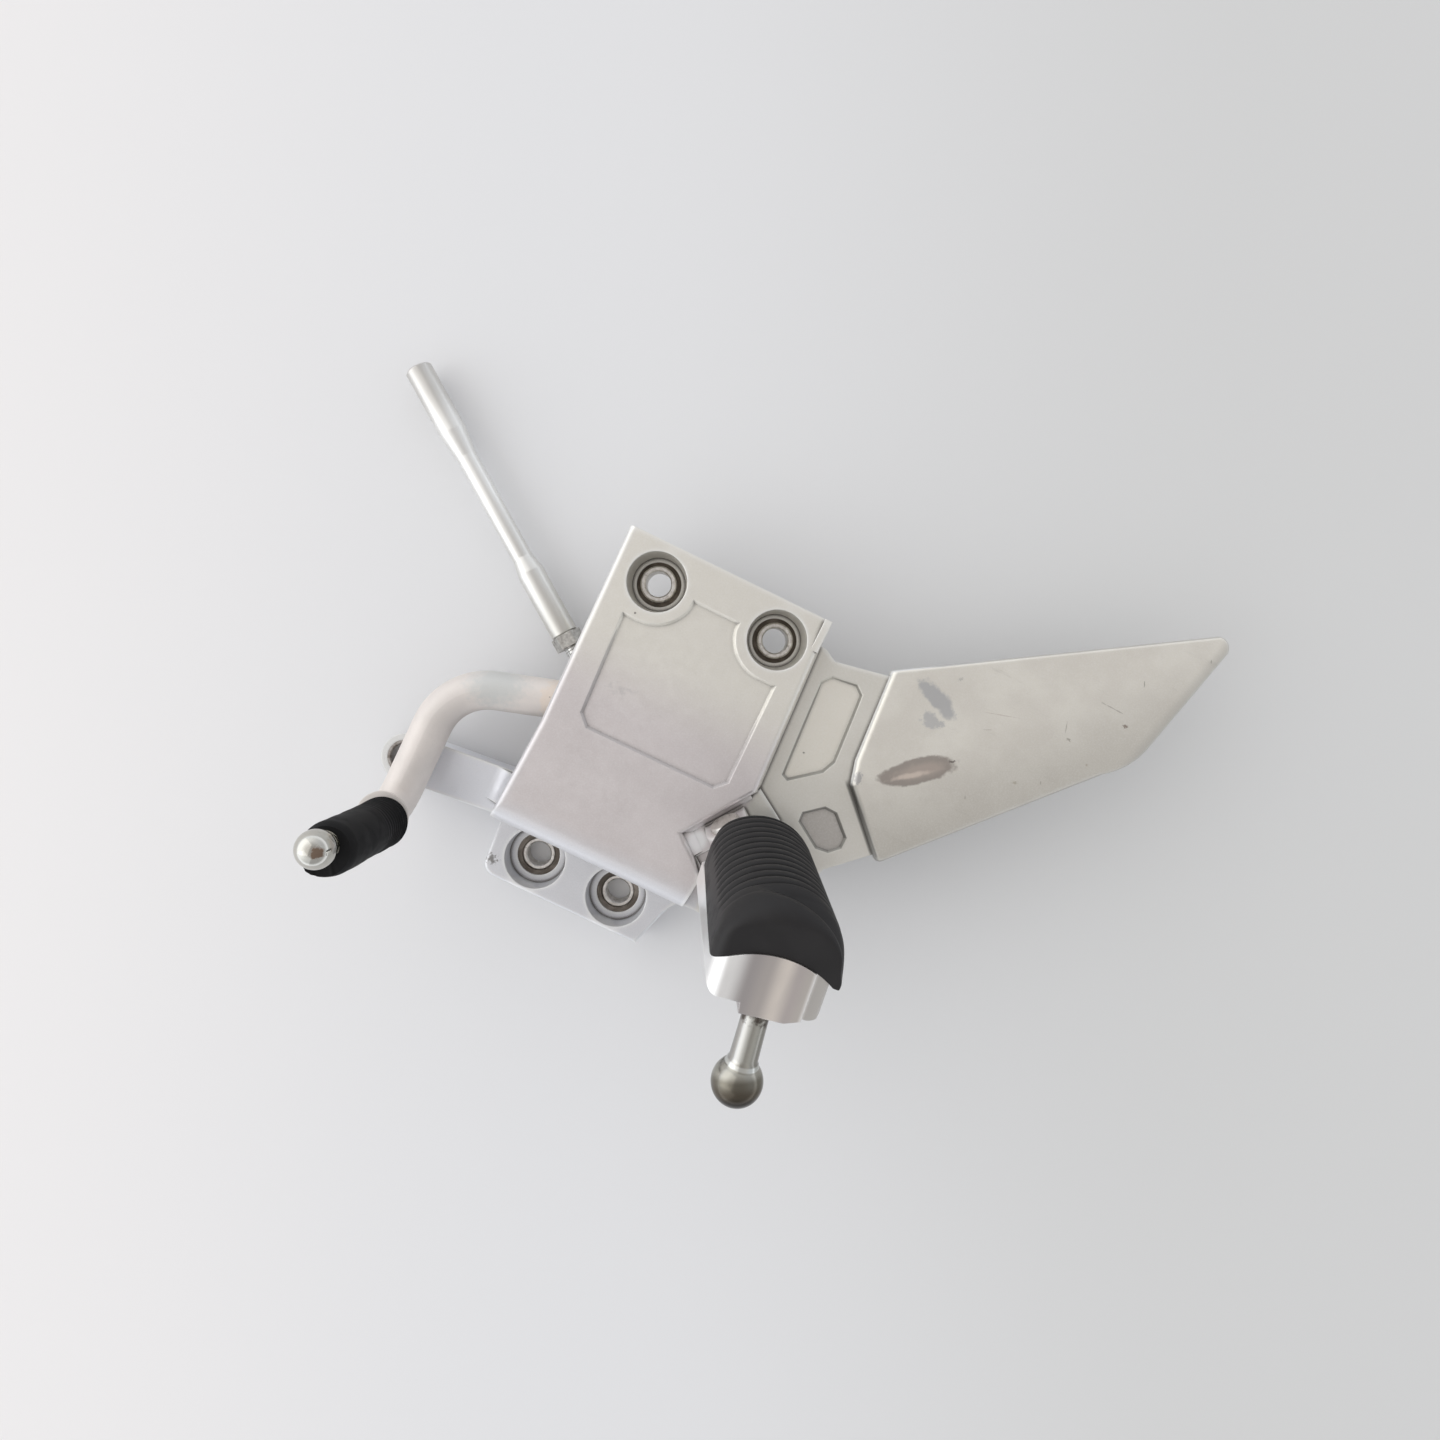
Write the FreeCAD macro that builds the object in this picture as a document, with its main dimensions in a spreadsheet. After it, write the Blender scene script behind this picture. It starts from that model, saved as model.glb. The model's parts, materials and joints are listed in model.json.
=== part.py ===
import FreeCAD, Part
import Sketcher
import math
import os
from types import SimpleNamespace

# Left-hand footrest hanger of a motorcycle, in millimetres.
# Z points out of the plate's front face, X runs rearwards along the bolt lines and Y runs up the plate.
# The origin lies half way between the two lower bolts, on the lower mounting face.

V = FreeCAD.Vector
Placement = FreeCAD.Placement
Rotation = FreeCAD.Rotation

SIZES = {
    # bolts
    "lower_spacing": 33.0,
    "upper_spacing": 45.0,
    "upper_offset": 5.0,
    "upper_height": 110.0,
    "bolt_hole": 8.8,
    "collar_outer": 12.6,
    "lower_bush_outer": 16.0,
    "upper_bush_outer": 15.6,
    "lower_rim": 22.6,
    "lower_recess": 8.0,
    "upper_rim": 20.6,
    "upper_recess": 14.0,
    "recess_draft": 4.0,
    "bush_step": 0.6,
    "lower_collar_length": 7.0,
    "upper_collar_length": 12.0,
    "edge_break": 0.5,
    # main plate
    "plate_front": 42.0,
    "plate_thick": 5.0,
    "upper_seat": 20.0,
    "upper_boss": 26.6,
    "plate_lower": 12.6,
    "plate_top": 123.5,
    "front_edge_top": 33.8,
    "front_edge_mid": 33.0,
    "front_mid_height": 50.0,
    "front_edge_low": 35.2,
    "rear_edge_top": 42.2,
    "rear_edge_low": 45.0,
    "rear_low_height": 61.6,
    "notch_x": 27.4,
    "notch_height": 36.6,
    "notch_foot_x": 34.2,
    "notch_foot_height": 31.0,
    "corner_x": 39.4,
    "corner_height": 25.0,
    "foot_x": 38.4,
    "edge_round": 2.2,
    "roll_width": 6.6,
    "roll_drop": 4.4,
    "rear_roll": 2.9,
    "rear_roll_drop": 2.2,
    "rear_roll_round": 2.4,
    "rear_draft": 11.0,
    "fin_width": 2.6,
    "fin_height": 1.3,
    "fin_length": 11.5,
    "notch_round": 1.8,
    "bank_gap": 4.0,
    "bank_foot": 1.6,
    "bank_foot_low": 3.4,
    "wall_thick": 5.4,
    "rim_width": 4.0,
    "rim_depth": 4.5,
    "rib_width": 4.0,
    # pad for the lower bolts
    "pad_thick": 16.0,
    "pad_reach": 12.8,
    "pad_front": 34.0,
    "pad_front_low": 33.0,
    "pad_corner": 5.0,
    "pad_rear": 36.0,
    "pad_rear_low": 30.6,
    "pad_rear_height": 4.6,
    "pad_edge_round": 1.2,
    # sunk panel in the plate's face
    "sink_depth": 1.1,
    "sink_lean": 40.0,
    "sink_front": 23.6,
    "sink_front_low": 22.0,
    "sink_rear": 34.0,
    "sink_low": 55.0,
    "sink_corner": 4.0,
    "sink_round": 14.0,
    "sink_ease": 3.0,
    # panel between plate and heel guard
    "web_front": 35.0,
    "web_thick": 5.0,
    "web_top": 112.4,
    "web_top_rear": 116.6,
    "web_low_x": 77.5,
    "web_low_y": 45.2,
    "web_heel_x": 74.0,
    "web_heel_y": 31.0,
    "web_toe_x": 61.0,
    "web_toe_y": 16.0,
    "web_lap": 3.0,
    "inset_depth": 1.1,
    "inset_corner": 3.1,
    "inset_front_x": 47.5,
    "inset_front_y": 107.2,
    "inset_low_x": 50.0,
    "inset_low_y": 65.9,
    "inset_rear_x": 65.0,
    "inset_rear_y": 77.8,
    "inset_top_x": 62.9,
    "inset_top_y": 109.2,
    "tab_front_x": 59.6,
    "tab_front_y": 58.4,
    "tab_low_x": 74.4,
    "tab_low_y": 49.0,
    "tab_rear_x": 82.4,
    "tab_rear_y": 56.7,
    "tab_top_x": 70.8,
    "tab_top_y": 67.6,
    # heel guard
    "guard_front": 38.0,
    "guard_thick": 4.6,
    "guard_top_x": 68.2,
    "guard_top_y": 118.0,
    "guard_shoulder_x": 165.2,
    "guard_shoulder_y": 177.9,
    "guard_tip_x": 170.3,
    "guard_tip_y": 173.8,
    "guard_tip_round": 4.2,
    "guard_back_x": 160.0,
    "guard_back_y": 132.0,
    "guard_bend_x": 151.2,
    "guard_bend_y": 118.5,
    "guard_bend_round": 26.0,
    "guard_low_x": 94.9,
    "guard_low_y": 56.8,
    "guard_low_round": 2.4,
    "guard_nose_x": 91.4,
    "guard_nose_y": 56.9,
    "guard_waist_x": 72.6,
    "guard_waist_y": 76.4,
    "guard_side_x": 70.4,
    "guard_side_y": 84.8,
    "crease_angle": 31.0,
    "crease_slope": 2.6,
    "crease_slope_upper": 1.6,
    "guard_edge_round": 1.3,
    "guard_lip_round": 2.3,
    # lug for the stay in front
    "lug_front": 15.0,
    "lug_thick": 10.0,
    "lug_eye_x": 75.2,
    "lug_eye_y": 13.4,
    "lug_eye_outer": 17.6,
    "lug_eye_hole": 13.0,
    "lug_eye_rise": 0.8,
    "lug_root_top": 26.0,
    "lug_root_low": 8.8,
    "lug_column": 8.0,
    "lug_sweep": 8.0,
    "stay_bore": 10.2,
    # gear pedal
    "pivot_x": 12.6,
    "pivot_y": 72.0,
    "pivot_dia": 12.0,
    "pivot_boss": 23.0,
    "pivot_seat": 31.0,
    "pivot_sink": 7.0,
    "hub_dia": 23.0,
    "hub_length": 14.0,
    "hub_gap": 0.2,
    "bush_wall": 1.6,
    "running_gap": 0.05,
    "washer_dia": 20.0,
    "washer_thick": 1.2,
    "clip_thick": 1.0,
    "clip_dia": 17.0,
    "clip_groove": 1.0,
    "arm_level": 23.5,
    "arm_dia": 14.0,
    "arm_bend": 22.0,
    "arm_slope": 17.5,
    "arm_flat_top": 27.6,
    "arm_flat_reach": 31.0,
    "pedal_x": 69.4,
    "pedal_y": 5.0,
    "pedal_bend": 11.0,
    "pedal_collar": 18.4,
    "pedal_collar_rise": 4.6,
    "peg_core": 9.0,
    "peg_core_sink": 12.0,
    "pedal_rubber_base": 18.2,
    "pedal_rubber_tip": 17.6,
    "pedal_rubber_length": 50.0,
    "pedal_ring_depth": 0.45,
    "pedal_ring_pitch": 2.0,
    "cap_dia": 12.0,
    "cap_rise": 6.6,
    "pedal_rubber_shift_x": 1.0,
    "pedal_rubber_shift_y": -1.4,
    # link rod
    "joint_x": 19.0,
    "joint_y": 62.4,
    "joint_level": 10.0,
    "rod_heading": 144.4,
    "rod_fall": 0.8,
    "ball_dia": 12.7,
    "ball_width": 11.0,
    "ball_bore": 6.0,
    "eye_dia": 19.0,
    "eye_width": 6.5,
    "stud_dia": 6.0,
    "shank_dia": 8.0,
    "shank_end": 13.0,
    "nut_flats": 10.0,
    "nut_thick": 5.0,
    "joint_nut_thick": 4.4,
    "joint_head_thick": 3.8,
    "tube_start": 28.8,
    "tube_length": 110.0,
    "tube_dia": 10.0,
    "tube_waist": 7.5,
    "tube_end": 26.0,
    "tube_taper": 10.0,
    "thread_gap": 0.03,
    "thread_depth": 16.0,
    "open_thread": 5.0,
    # footpeg
    "peg_x": 52.4,
    "peg_y": 36.5,
    "peg_level": 44.0,
    "peg_roll": 8.8,
    "peg_droop": 9.5,
    "peg_sweep": 6.2,
    "pin_angle": 45.8,
    "pin_dia": 8.0,
    "pin_head": 10.6,
    "pin_head_thick": 2.0,
    "pin_over": 4.6,
    "pin_clip_dia": 11.6,
    "pin_clip_thick": 1.1,
    "clip_play": 0.15,
    "shoulder_level": 38.5,
    "shoulder_reach_x": 4.4,
    "shoulder_reach_y": 17.6,
    "head_room": 0.8,
    "cheek_round": 7.6,
    "cheek_thick": 7.6,
    "cheek_foot": 14.0,
    "tongue_width": 18.0,
    "tongue_gap": 0.25,
    "tongue_round": 7.2,
    "heel_gap": 0.2,
    "spring_room": 8.6,
    "spring_wire": 1.6,
    "spring_inner": 9.0,
    "spring_turns": 4.0,
    "carrier_start": 8.6,
    "carrier_left": 17.2,
    "carrier_right": 16.2,
    "carrier_top": 0.8,
    "carrier_under": 12.4,
    "carrier_belly": 6.4,
    "carrier_lobe": 3.8,
    "carrier_lobe_rise": 3.2,
    "carrier_end": 75.0,
    "carrier_crown": 29.0,
    "carrier_end_round": 4.6,
    "carrier_step_x": 10.8,
    "carrier_step": 1.6,
    "carrier_wall": 4.0,
    "carrier_end_wall": 11.0,
    "carrier_roof": 5.0,
    "rubber_round": 19.4,
    "rubber_axis": 3.0,
    "rubber_skirt": 0.6,
    "rubber_left": 16.9,
    "rubber_gap": 0.2,
    "rubber_end": 74.4,
    "rubber_rim": 3.0,
    "rubber_ribs": 11.0,
    "rubber_rib_pitch": 5.0,
    "rubber_rib_depth": 1.1,
    "rubber_rib_spread": 200.0,
    "screw_dia": 5.0,
    "screw_head": 9.0,
    "screw_head_thick": 2.6,
    "screw_grip": 7.0,
    "screw_near": 26.0,
    "screw_far": 52.0,
    "feeler_x": -0.5,
    "feeler_at": 70.5,
    "feeler_neck": 7.0,
    "feeler_drop": 22.8,
    "feeler_ball": 14.2,
    "feeler_stud": 6.0,
}

HEX_SIDE = 1.0 / math.sqrt(3.0)


class Size:
    """A number that keeps the sheet expression it comes from."""

    def __init__(self, value, text):
        self.value = float(value)
        self.text = text

    def __add__(self, other):
        return Size(self.value + number(other), "(%s + %s)" % (self.text, wording(other)))

    def __radd__(self, other):
        return Size(number(other) + self.value, "(%s + %s)" % (wording(other), self.text))

    def __sub__(self, other):
        return Size(self.value - number(other), "(%s - %s)" % (self.text, wording(other)))

    def __rsub__(self, other):
        return Size(number(other) - self.value, "(%s - %s)" % (wording(other), self.text))

    def __mul__(self, other):
        return Size(self.value * number(other), "(%s * %s)" % (self.text, wording(other)))

    def __rmul__(self, other):
        return Size(number(other) * self.value, "(%s * %s)" % (wording(other), self.text))

    def __truediv__(self, other):
        return Size(self.value / number(other), "(%s / %s)" % (self.text, wording(other)))

    def __neg__(self):
        return Size(-self.value, "(0 - %s)" % self.text)


def number(value):
    return value.value if isinstance(value, Size) else float(value)


def wording(value):
    return value.text if isinstance(value, Size) else "(%.9f)" % float(value)


def cosine(angle):
    return Size(math.cos(math.radians(angle.value)), "cos(%s * 1 deg)" % angle.text)


def sine(angle):
    return Size(math.sin(math.radians(angle.value)), "sin(%s * 1 deg)" % angle.text)


def leg(long_side, side):
    """Other short side of a right triangle."""
    return Size(math.sqrt(long_side.value ** 2 - side.value ** 2),
                "sqrt(%s ^ 2 - %s ^ 2)" % (long_side.text, side.text))


def hypotenuse(first, second):
    """Long side of a right triangle."""
    return Size(math.hypot(first.value, second.value), "sqrt(%s ^ 2 + %s ^ 2)" % (first.text, second.text))


def tangent(angle):
    return Size(math.tan(math.radians(angle.value)), "tan(%s * 1 deg)" % angle.text)


doc = FreeCAD.newDocument("footrest_hanger")
sheet = doc.addObject("Spreadsheet::Sheet", "Sizes")
s = SimpleNamespace()
for row, (alias, value) in enumerate(SIZES.items(), start=1):
    sheet.set("A%d" % row, alias.replace("_", " "))
    sheet.set("B%d" % row, "%g" % value)
    sheet.setAlias("B%d" % row, alias)
    setattr(s, alias, Size(value, "Sizes." + alias))
doc.recompute()

pieces = []


def new_body(label, base=(0.0, 0.0, 0.0), turn=None):
    body = doc.addObject("PartDesign::Body", label)
    body.Label = label
    spot = V(number(base[0]), number(base[1]), number(base[2]))
    body.Placement = Placement(spot, turn if turn else Rotation())
    for axis, value in zip("xyz", base):
        if isinstance(value, Size):
            body.setExpression("Placement.Base." + axis, value.text)
    pieces.append(body)
    return body


def origin_plane(body, role):
    return [item for item in body.Origin.OriginFeatures if item.Role == role][0]


def arc_between(start, end, radius, side):
    chord = end - start
    half = chord.Length / 2.0
    rise = math.sqrt(max(radius * radius - half * half, 0.0))
    left = V(-chord.y, chord.x, 0.0)
    left.normalize()
    centre = (start + end) * 0.5 + left * rise * side
    circle = Part.Circle(centre, V(0, 0, 1), radius)
    first, last = (start, end) if side > 0 else (end, start)
    from_angle = math.atan2(first.y - centre.y, first.x - centre.x)
    to_angle = math.atan2(last.y - centre.y, last.x - centre.x)
    if to_angle <= from_angle:
        to_angle += 2.0 * math.pi
    return Part.ArcOfCircle(circle, from_angle, to_angle)


def draw(body, name, loops, plane="XY_Plane", lift=None, frame=None):
    """Sketch of closed loops. A vertex is (x, y), or (x, y, radius, side) where an arc starts."""
    sketch = body.newObject("Sketcher::SketchObject", name)
    sketch.AttachmentSupport = (origin_plane(body, plane), [""])
    sketch.MapMode = "FlatFace"
    if frame is not None:
        sketch.AttachmentOffset = frame
    if lift is not None:
        sketch.AttachmentOffset = Placement(V(0, 0, number(lift)), Rotation())
        if isinstance(lift, Size):
            sketch.setExpression(".AttachmentOffset.Base.z", lift.text)
    rules = []
    bound = []

    def fix(kind, geometry, place, value, axis):
        if not isinstance(value, Size) and float(value) == 0.0:
            rules.append(Sketcher.Constraint("PointOnObject", geometry, place, axis))
            return
        if isinstance(value, Size):
            bound.append((len(rules), value.text))
        rules.append(Sketcher.Constraint(kind, geometry, place, number(value)))

    for loop in loops:
        if loop[0] == "circle":
            x, y, radius = loop[1:]
            ring = Part.Circle(V(number(x), number(y), 0), V(0, 0, 1), number(radius))
            index = sketch.addGeometry(ring, False)
            fix("DistanceX", index, 3, x, -2)
            fix("DistanceY", index, 3, y, -1)
            if isinstance(radius, Size):
                bound.append((len(rules), radius.text))
            rules.append(Sketcher.Constraint("Radius", index, number(radius)))
            continue
        corners = [V(number(vertex[0]), number(vertex[1]), 0) for vertex in loop]
        ends = []
        for i, vertex in enumerate(loop):
            start = corners[i]
            end = corners[(i + 1) % len(loop)]
            if len(vertex) == 4:
                index = sketch.addGeometry(arc_between(start, end, number(vertex[2]), vertex[3]), False)
                ends.append((index, 1, 2) if vertex[3] > 0 else (index, 2, 1))
                if isinstance(vertex[2], Size):
                    bound.append((len(rules), vertex[2].text))
                rules.append(Sketcher.Constraint("Radius", index, number(vertex[2])))
            else:
                index = sketch.addGeometry(Part.LineSegment(start, end), False)
                ends.append((index, 1, 2))
        for i, vertex in enumerate(loop):
            before = ends[i - 1]
            here = ends[i]
            rules.append(Sketcher.Constraint("Coincident", before[0], before[2], here[0], here[1]))
            fix("DistanceX", here[0], here[1], vertex[0], -2)
            fix("DistanceY", here[0], here[1], vertex[1], -1)
    sketch.addConstraint(rules)
    for index, text in bound:
        sketch.setExpression("Constraints[%d]" % index, text)
    sketch.Visibility = False
    return sketch


def bind(feature, prop, value):
    setattr(feature, prop, number(value))
    if isinstance(value, Size):
        feature.setExpression(prop, value.text)


def pad(body, name, sketch, length, taper=None, symmetric=False):
    feature = body.newObject("PartDesign::Pad", name)
    feature.Profile = sketch
    bind(feature, "Length", length)
    if symmetric:
        feature.SideType = "Symmetric"
    if taper is not None:
        bind(feature, "TaperAngle", taper)
    return feature


def pocket(body, name, sketch, length=None, taper=None, symmetric=False, reverse=False):
    feature = body.newObject("PartDesign::Pocket", name)
    feature.Profile = sketch
    if symmetric:
        feature.SideType = "Symmetric"
    if length is None:
        feature.Type = "ThroughAll"
    else:
        bind(feature, "Length", length)
    if taper is not None:
        bind(feature, "TaperAngle", taper)
    feature.Reversed = reverse
    return feature


def revolve(body, name, sketch, axis="V_Axis", angle=360.0, cut=False, symmetric=False):
    kind = "PartDesign::Groove" if cut else "PartDesign::Revolution"
    feature = body.newObject(kind, name)
    feature.Profile = sketch
    feature.ReferenceAxis = (sketch, [axis])
    feature.Angle = angle
    feature.Midplane = symmetric
    return feature


def soften(body, name, radius, test, kind="PartDesign::Fillet"):
    """Rounds every edge of the body that passes the test."""
    doc.recompute()
    last = body.Tip
    names = []
    for i, edge in enumerate(last.Shape.Edges, start=1):
        if test(edge):
            names.append("Edge%d" % i)
    feature = body.newObject(kind, name)
    feature.Base = (last, names)
    bind(feature, "Radius" if kind.endswith("Fillet") else "Size", radius)
    return feature


def on_level(edge, level):
    return abs(edge.BoundBox.ZMin - level) < 0.01 and abs(edge.BoundBox.ZMax - level) < 0.01


def turned(label, loop, base=(0.0, 0.0, 0.0), turn=None):
    """Body turned about its own Z from a half profile of (radius, height) points."""
    body = new_body(label, base, turn)
    revolve(body, label + "_turn", draw(body, label + "_profile", [loop], "XZ_Plane"))
    return body


def clipped(corners, cut):
    """Outline with each corner cut off at this distance along the two sides that meet there."""
    outline = []
    for i, (x, y) in enumerate(corners):
        for end_x, end_y in (corners[i - 1], corners[(i + 1) % len(corners)]):
            share = cut / hypotenuse(end_x - x, end_y - y)
            outline.append((x + (end_x - x) * share, y + (end_y - y) * share))
    return outline


def along_edge(body, name, start, end, profile, cut=False):
    """Pads or cuts a profile of (outwards, height) points along an edge with its outer side on the left."""
    begin = V(number(start[0]), number(start[1]), 0)
    run = V(number(end[0]), number(end[1]), 0) - begin
    run.normalize()
    frame = Placement(begin, Rotation(V(-run.y, run.x, 0), V(0, 0, 1), run, "ZXY"))
    length = hypotenuse(end[0] - start[0], end[1] - start[1])
    sketch = draw(body, name + "_profile", [profile], frame=frame)
    if cut:
        return pocket(body, name, sketch, length, reverse=True)
    return pad(body, name, sketch, length)


def partway(start, end, distance):
    """Point on a line at this distance from its start, which may lie before it."""
    share = distance / hypotenuse(end[0] - start[0], end[1] - start[1])
    return (start[0] + (end[0] - start[0]) * share, start[1] + (end[1] - start[1]) * share)


def hexagon(flats):
    half = flats / 2.0
    side = flats * HEX_SIDE
    return [(side, 0), (side / 2.0, half), (-side / 2.0, half),
            (-side, 0), (-side / 2.0, -half), (side / 2.0, -half)]


# Frames of the footpeg and of the link rod
peg_turn = (Rotation(V(0, 0, 1), SIZES["peg_roll"])
            * Rotation(V(1, 0, 0), SIZES["peg_droop"])
            * Rotation(V(0, 1, 0), SIZES["peg_sweep"]))
peg_base = (s.peg_x, s.peg_y, s.peg_level)
peg_frame = Placement(V(SIZES["peg_x"], SIZES["peg_y"], SIZES["peg_level"]), peg_turn)
pin_lean = math.radians(SIZES["pin_angle"])
pin_dir = V(math.cos(pin_lean), -math.sin(pin_lean), 0)
fold_dir = V(math.sin(pin_lean), math.cos(pin_lean), 0)
clevis_local = Placement(V(0, 0, 0), Rotation(fold_dir, V(0, 0, 1), pin_dir, "ZXY"))
clevis_frame = peg_frame * clevis_local
pin_turn = peg_turn * Rotation(fold_dir, V(0, 0, 1), pin_dir, "ZXY")

rod_course = math.radians(SIZES["rod_heading"])
rod_dip = math.radians(-SIZES["rod_fall"])
rod_dir = V(math.cos(rod_course) * math.cos(rod_dip), math.sin(rod_course) * math.cos(rod_dip),
            math.sin(rod_dip))
rod_side = V(-math.sin(rod_course), math.cos(rod_course), 0)
rod_turn = Rotation(rod_side, rod_dir.cross(rod_side), rod_dir, "ZXY")
rod_base = (-s.joint_x, s.joint_y, s.joint_level)

upper_front_x = s.upper_offset - s.upper_spacing / 2.0
upper_rear_x = s.upper_offset + s.upper_spacing / 2.0
lower_half = s.lower_spacing / 2.0
plate_back = s.plate_front - s.plate_thick
web_back = s.web_front - s.web_thick
guard_back = s.guard_front - s.guard_thick
rim_floor = plate_back - s.rim_depth
slot_half = s.tongue_width / 2.0 + s.tongue_gap
cheek_half = slot_half + s.cheek_thick
hub_top = s.pivot_seat - s.hub_gap
hub_low = hub_top - s.hub_length


def hanger_casting():
    body = new_body("hanger_casting")

    # heel guard, two nearly flat faces that meet in a soft crease
    guard = [(s.guard_nose_x, s.guard_nose_y, s.guard_low_round, 1), (s.guard_low_x, s.guard_low_y),
             (s.guard_bend_x, s.guard_bend_y, s.guard_bend_round, 1), (s.guard_back_x, s.guard_back_y),
             (s.guard_tip_x, s.guard_tip_y, s.guard_tip_round, 1), (s.guard_shoulder_x, s.guard_shoulder_y),
             (s.guard_top_x, s.guard_top_y), (s.guard_side_x, s.guard_side_y),
             (s.guard_waist_x, s.guard_waist_y)]
    pad(body, "guard_plate", draw(body, "guard_outline", [guard], lift=guard_back), s.guard_thick)
    crease = V(SIZES["guard_waist_x"], SIZES["guard_waist_y"], SIZES["guard_front"])
    run = Rotation(V(0, 0, 1), SIZES["crease_angle"])
    lower = Placement(crease, run * Rotation(V(1, 0, 0), SIZES["crease_slope"]))
    upper = Placement(crease, run * Rotation(V(1, 0, 0), -SIZES["crease_slope_upper"]))
    reach = s.guard_tip_x
    below = [(-reach, -reach), (reach, -reach), (reach, 0), (-reach, 0)]
    above = [(-reach, 0), (reach, 0), (reach, reach), (-reach, reach)]
    pocket(body, "guard_lower_face", draw(body, "guard_lower_plane", [below], frame=lower),
           s.guard_thick, reverse=True)
    pocket(body, "guard_upper_face", draw(body, "guard_upper_plane", [above], frame=upper),
           s.guard_thick, reverse=True)

    def guard_edge(edge):
        low = edge.BoundBox.ZMin
        if low < guard_back.value + 1.0:
            return False
        sides = [face for face in body.Tip.Shape.ancestorsOfType(edge, Part.Face)
                 if abs(face.normalAt(*face.Surface.parameter(edge.CenterOfMass)).z) < 0.1]
        return len(sides) == 1

    def lip_edge(edge):
        return guard_edge(edge) and edge.BoundBox.XMax < SIZES["guard_nose_x"] + 0.1
    soften(body, "guard_lip", s.guard_lip_round, lip_edge)
    soften(body, "guard_edges", s.guard_edge_round, guard_edge)

    # panel that joins the heel guard to the plate and carries the footpeg
    lap = s.web_lap
    web = [(s.notch_x - lap, s.notch_height), (s.notch_foot_x - lap, s.notch_foot_height),
           (s.corner_x - lap, s.corner_height), (s.foot_x - lap, s.plate_lower),
           (s.foot_x + 7.0, s.plate_lower), (s.web_toe_x, s.web_toe_y), (s.web_heel_x, s.web_heel_y),
           (s.web_low_x, s.web_low_y), (s.guard_nose_x + 2.0, s.guard_nose_y + 3.0),
           (s.guard_waist_x + 4.0, s.guard_waist_y + 1.0), (s.guard_side_x + 4.0, s.guard_side_y),
           (s.guard_top_x + 4.0, s.web_top_rear), (s.guard_top_x, s.web_top_rear - 0.6),
           (s.rear_edge_top + 7.0, s.web_top), (s.rear_edge_top + 2.6, s.web_top + 2.4),
           (s.rear_edge_top - lap, s.web_top + 3.6), (s.rear_edge_low - lap, s.rear_low_height)]
    pad(body, "web", draw(body, "web_outline", [web], lift=web_back), s.web_thick)
    upper_inset = [(s.inset_top_x, s.inset_top_y), (s.inset_front_x, s.inset_front_y),
                   (s.inset_low_x, s.inset_low_y), (s.inset_rear_x, s.inset_rear_y)]
    tab_inset = [(s.tab_low_x, s.tab_low_y), (s.tab_rear_x, s.tab_rear_y), (s.tab_top_x, s.tab_top_y),
                 (s.tab_front_x, s.tab_front_y)]
    for name, inset in (("upper_inset", upper_inset), ("tab_inset", tab_inset)):
        outline = draw(body, name + "_outline", [clipped(inset, s.inset_corner)], lift=s.web_front)
        pocket(body, name, outline, s.inset_depth, taper=-s.sink_lean)

    # step between the web and the plate
    step = [(s.rear_edge_top, s.plate_top), (s.rear_edge_top - s.wall_thick, s.plate_top),
            (s.rear_edge_low - s.wall_thick, s.rear_low_height + 1.6),
            (s.notch_x - s.wall_thick, s.notch_height),
            (s.notch_foot_x - s.wall_thick, s.notch_foot_height - 2.0),
            (s.corner_x - s.wall_thick, s.corner_height - 2.0), (s.foot_x - s.wall_thick, s.plate_lower),
            (s.foot_x, s.plate_lower), (s.corner_x, s.corner_height),
            (s.notch_foot_x, s.notch_foot_height), (s.notch_x, s.notch_height),
            (s.rear_edge_low, s.rear_low_height)]
    pad(body, "step_wall", draw(body, "step_outline", [step], lift=web_back), plate_back - web_back)

    # main plate with its rounded front edge and rolled lower edge
    plate = [(-s.front_edge_low, s.plate_lower), (s.foot_x, s.plate_lower), (s.corner_x, s.corner_height),
             (s.notch_foot_x, s.notch_foot_height), (s.notch_x, s.notch_height),
             (s.rear_edge_low, s.rear_low_height), (s.rear_edge_top, s.plate_top),
             (-s.front_edge_top, s.plate_top), (-s.front_edge_mid, s.front_mid_height)]
    pad(body, "plate", draw(body, "plate_outline", [plate], lift=plate_back), s.plate_thick)
    soften(body, "plate_front_edge", s.edge_round,
           lambda edge: on_level(edge, s.plate_front.value)
           and edge.BoundBox.XMax < -SIZES["front_edge_mid"] + 0.01)
    soften(body, "plate_notch_edge", s.notch_round,
           lambda edge: on_level(edge, s.plate_front.value)
           and edge.BoundBox.YMin > SIZES["notch_foot_height"] - 0.01
           and edge.BoundBox.YMax < SIZES["rear_low_height"] + 0.01
           and edge.BoundBox.XMin > SIZES["notch_x"] - 0.01)
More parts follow.
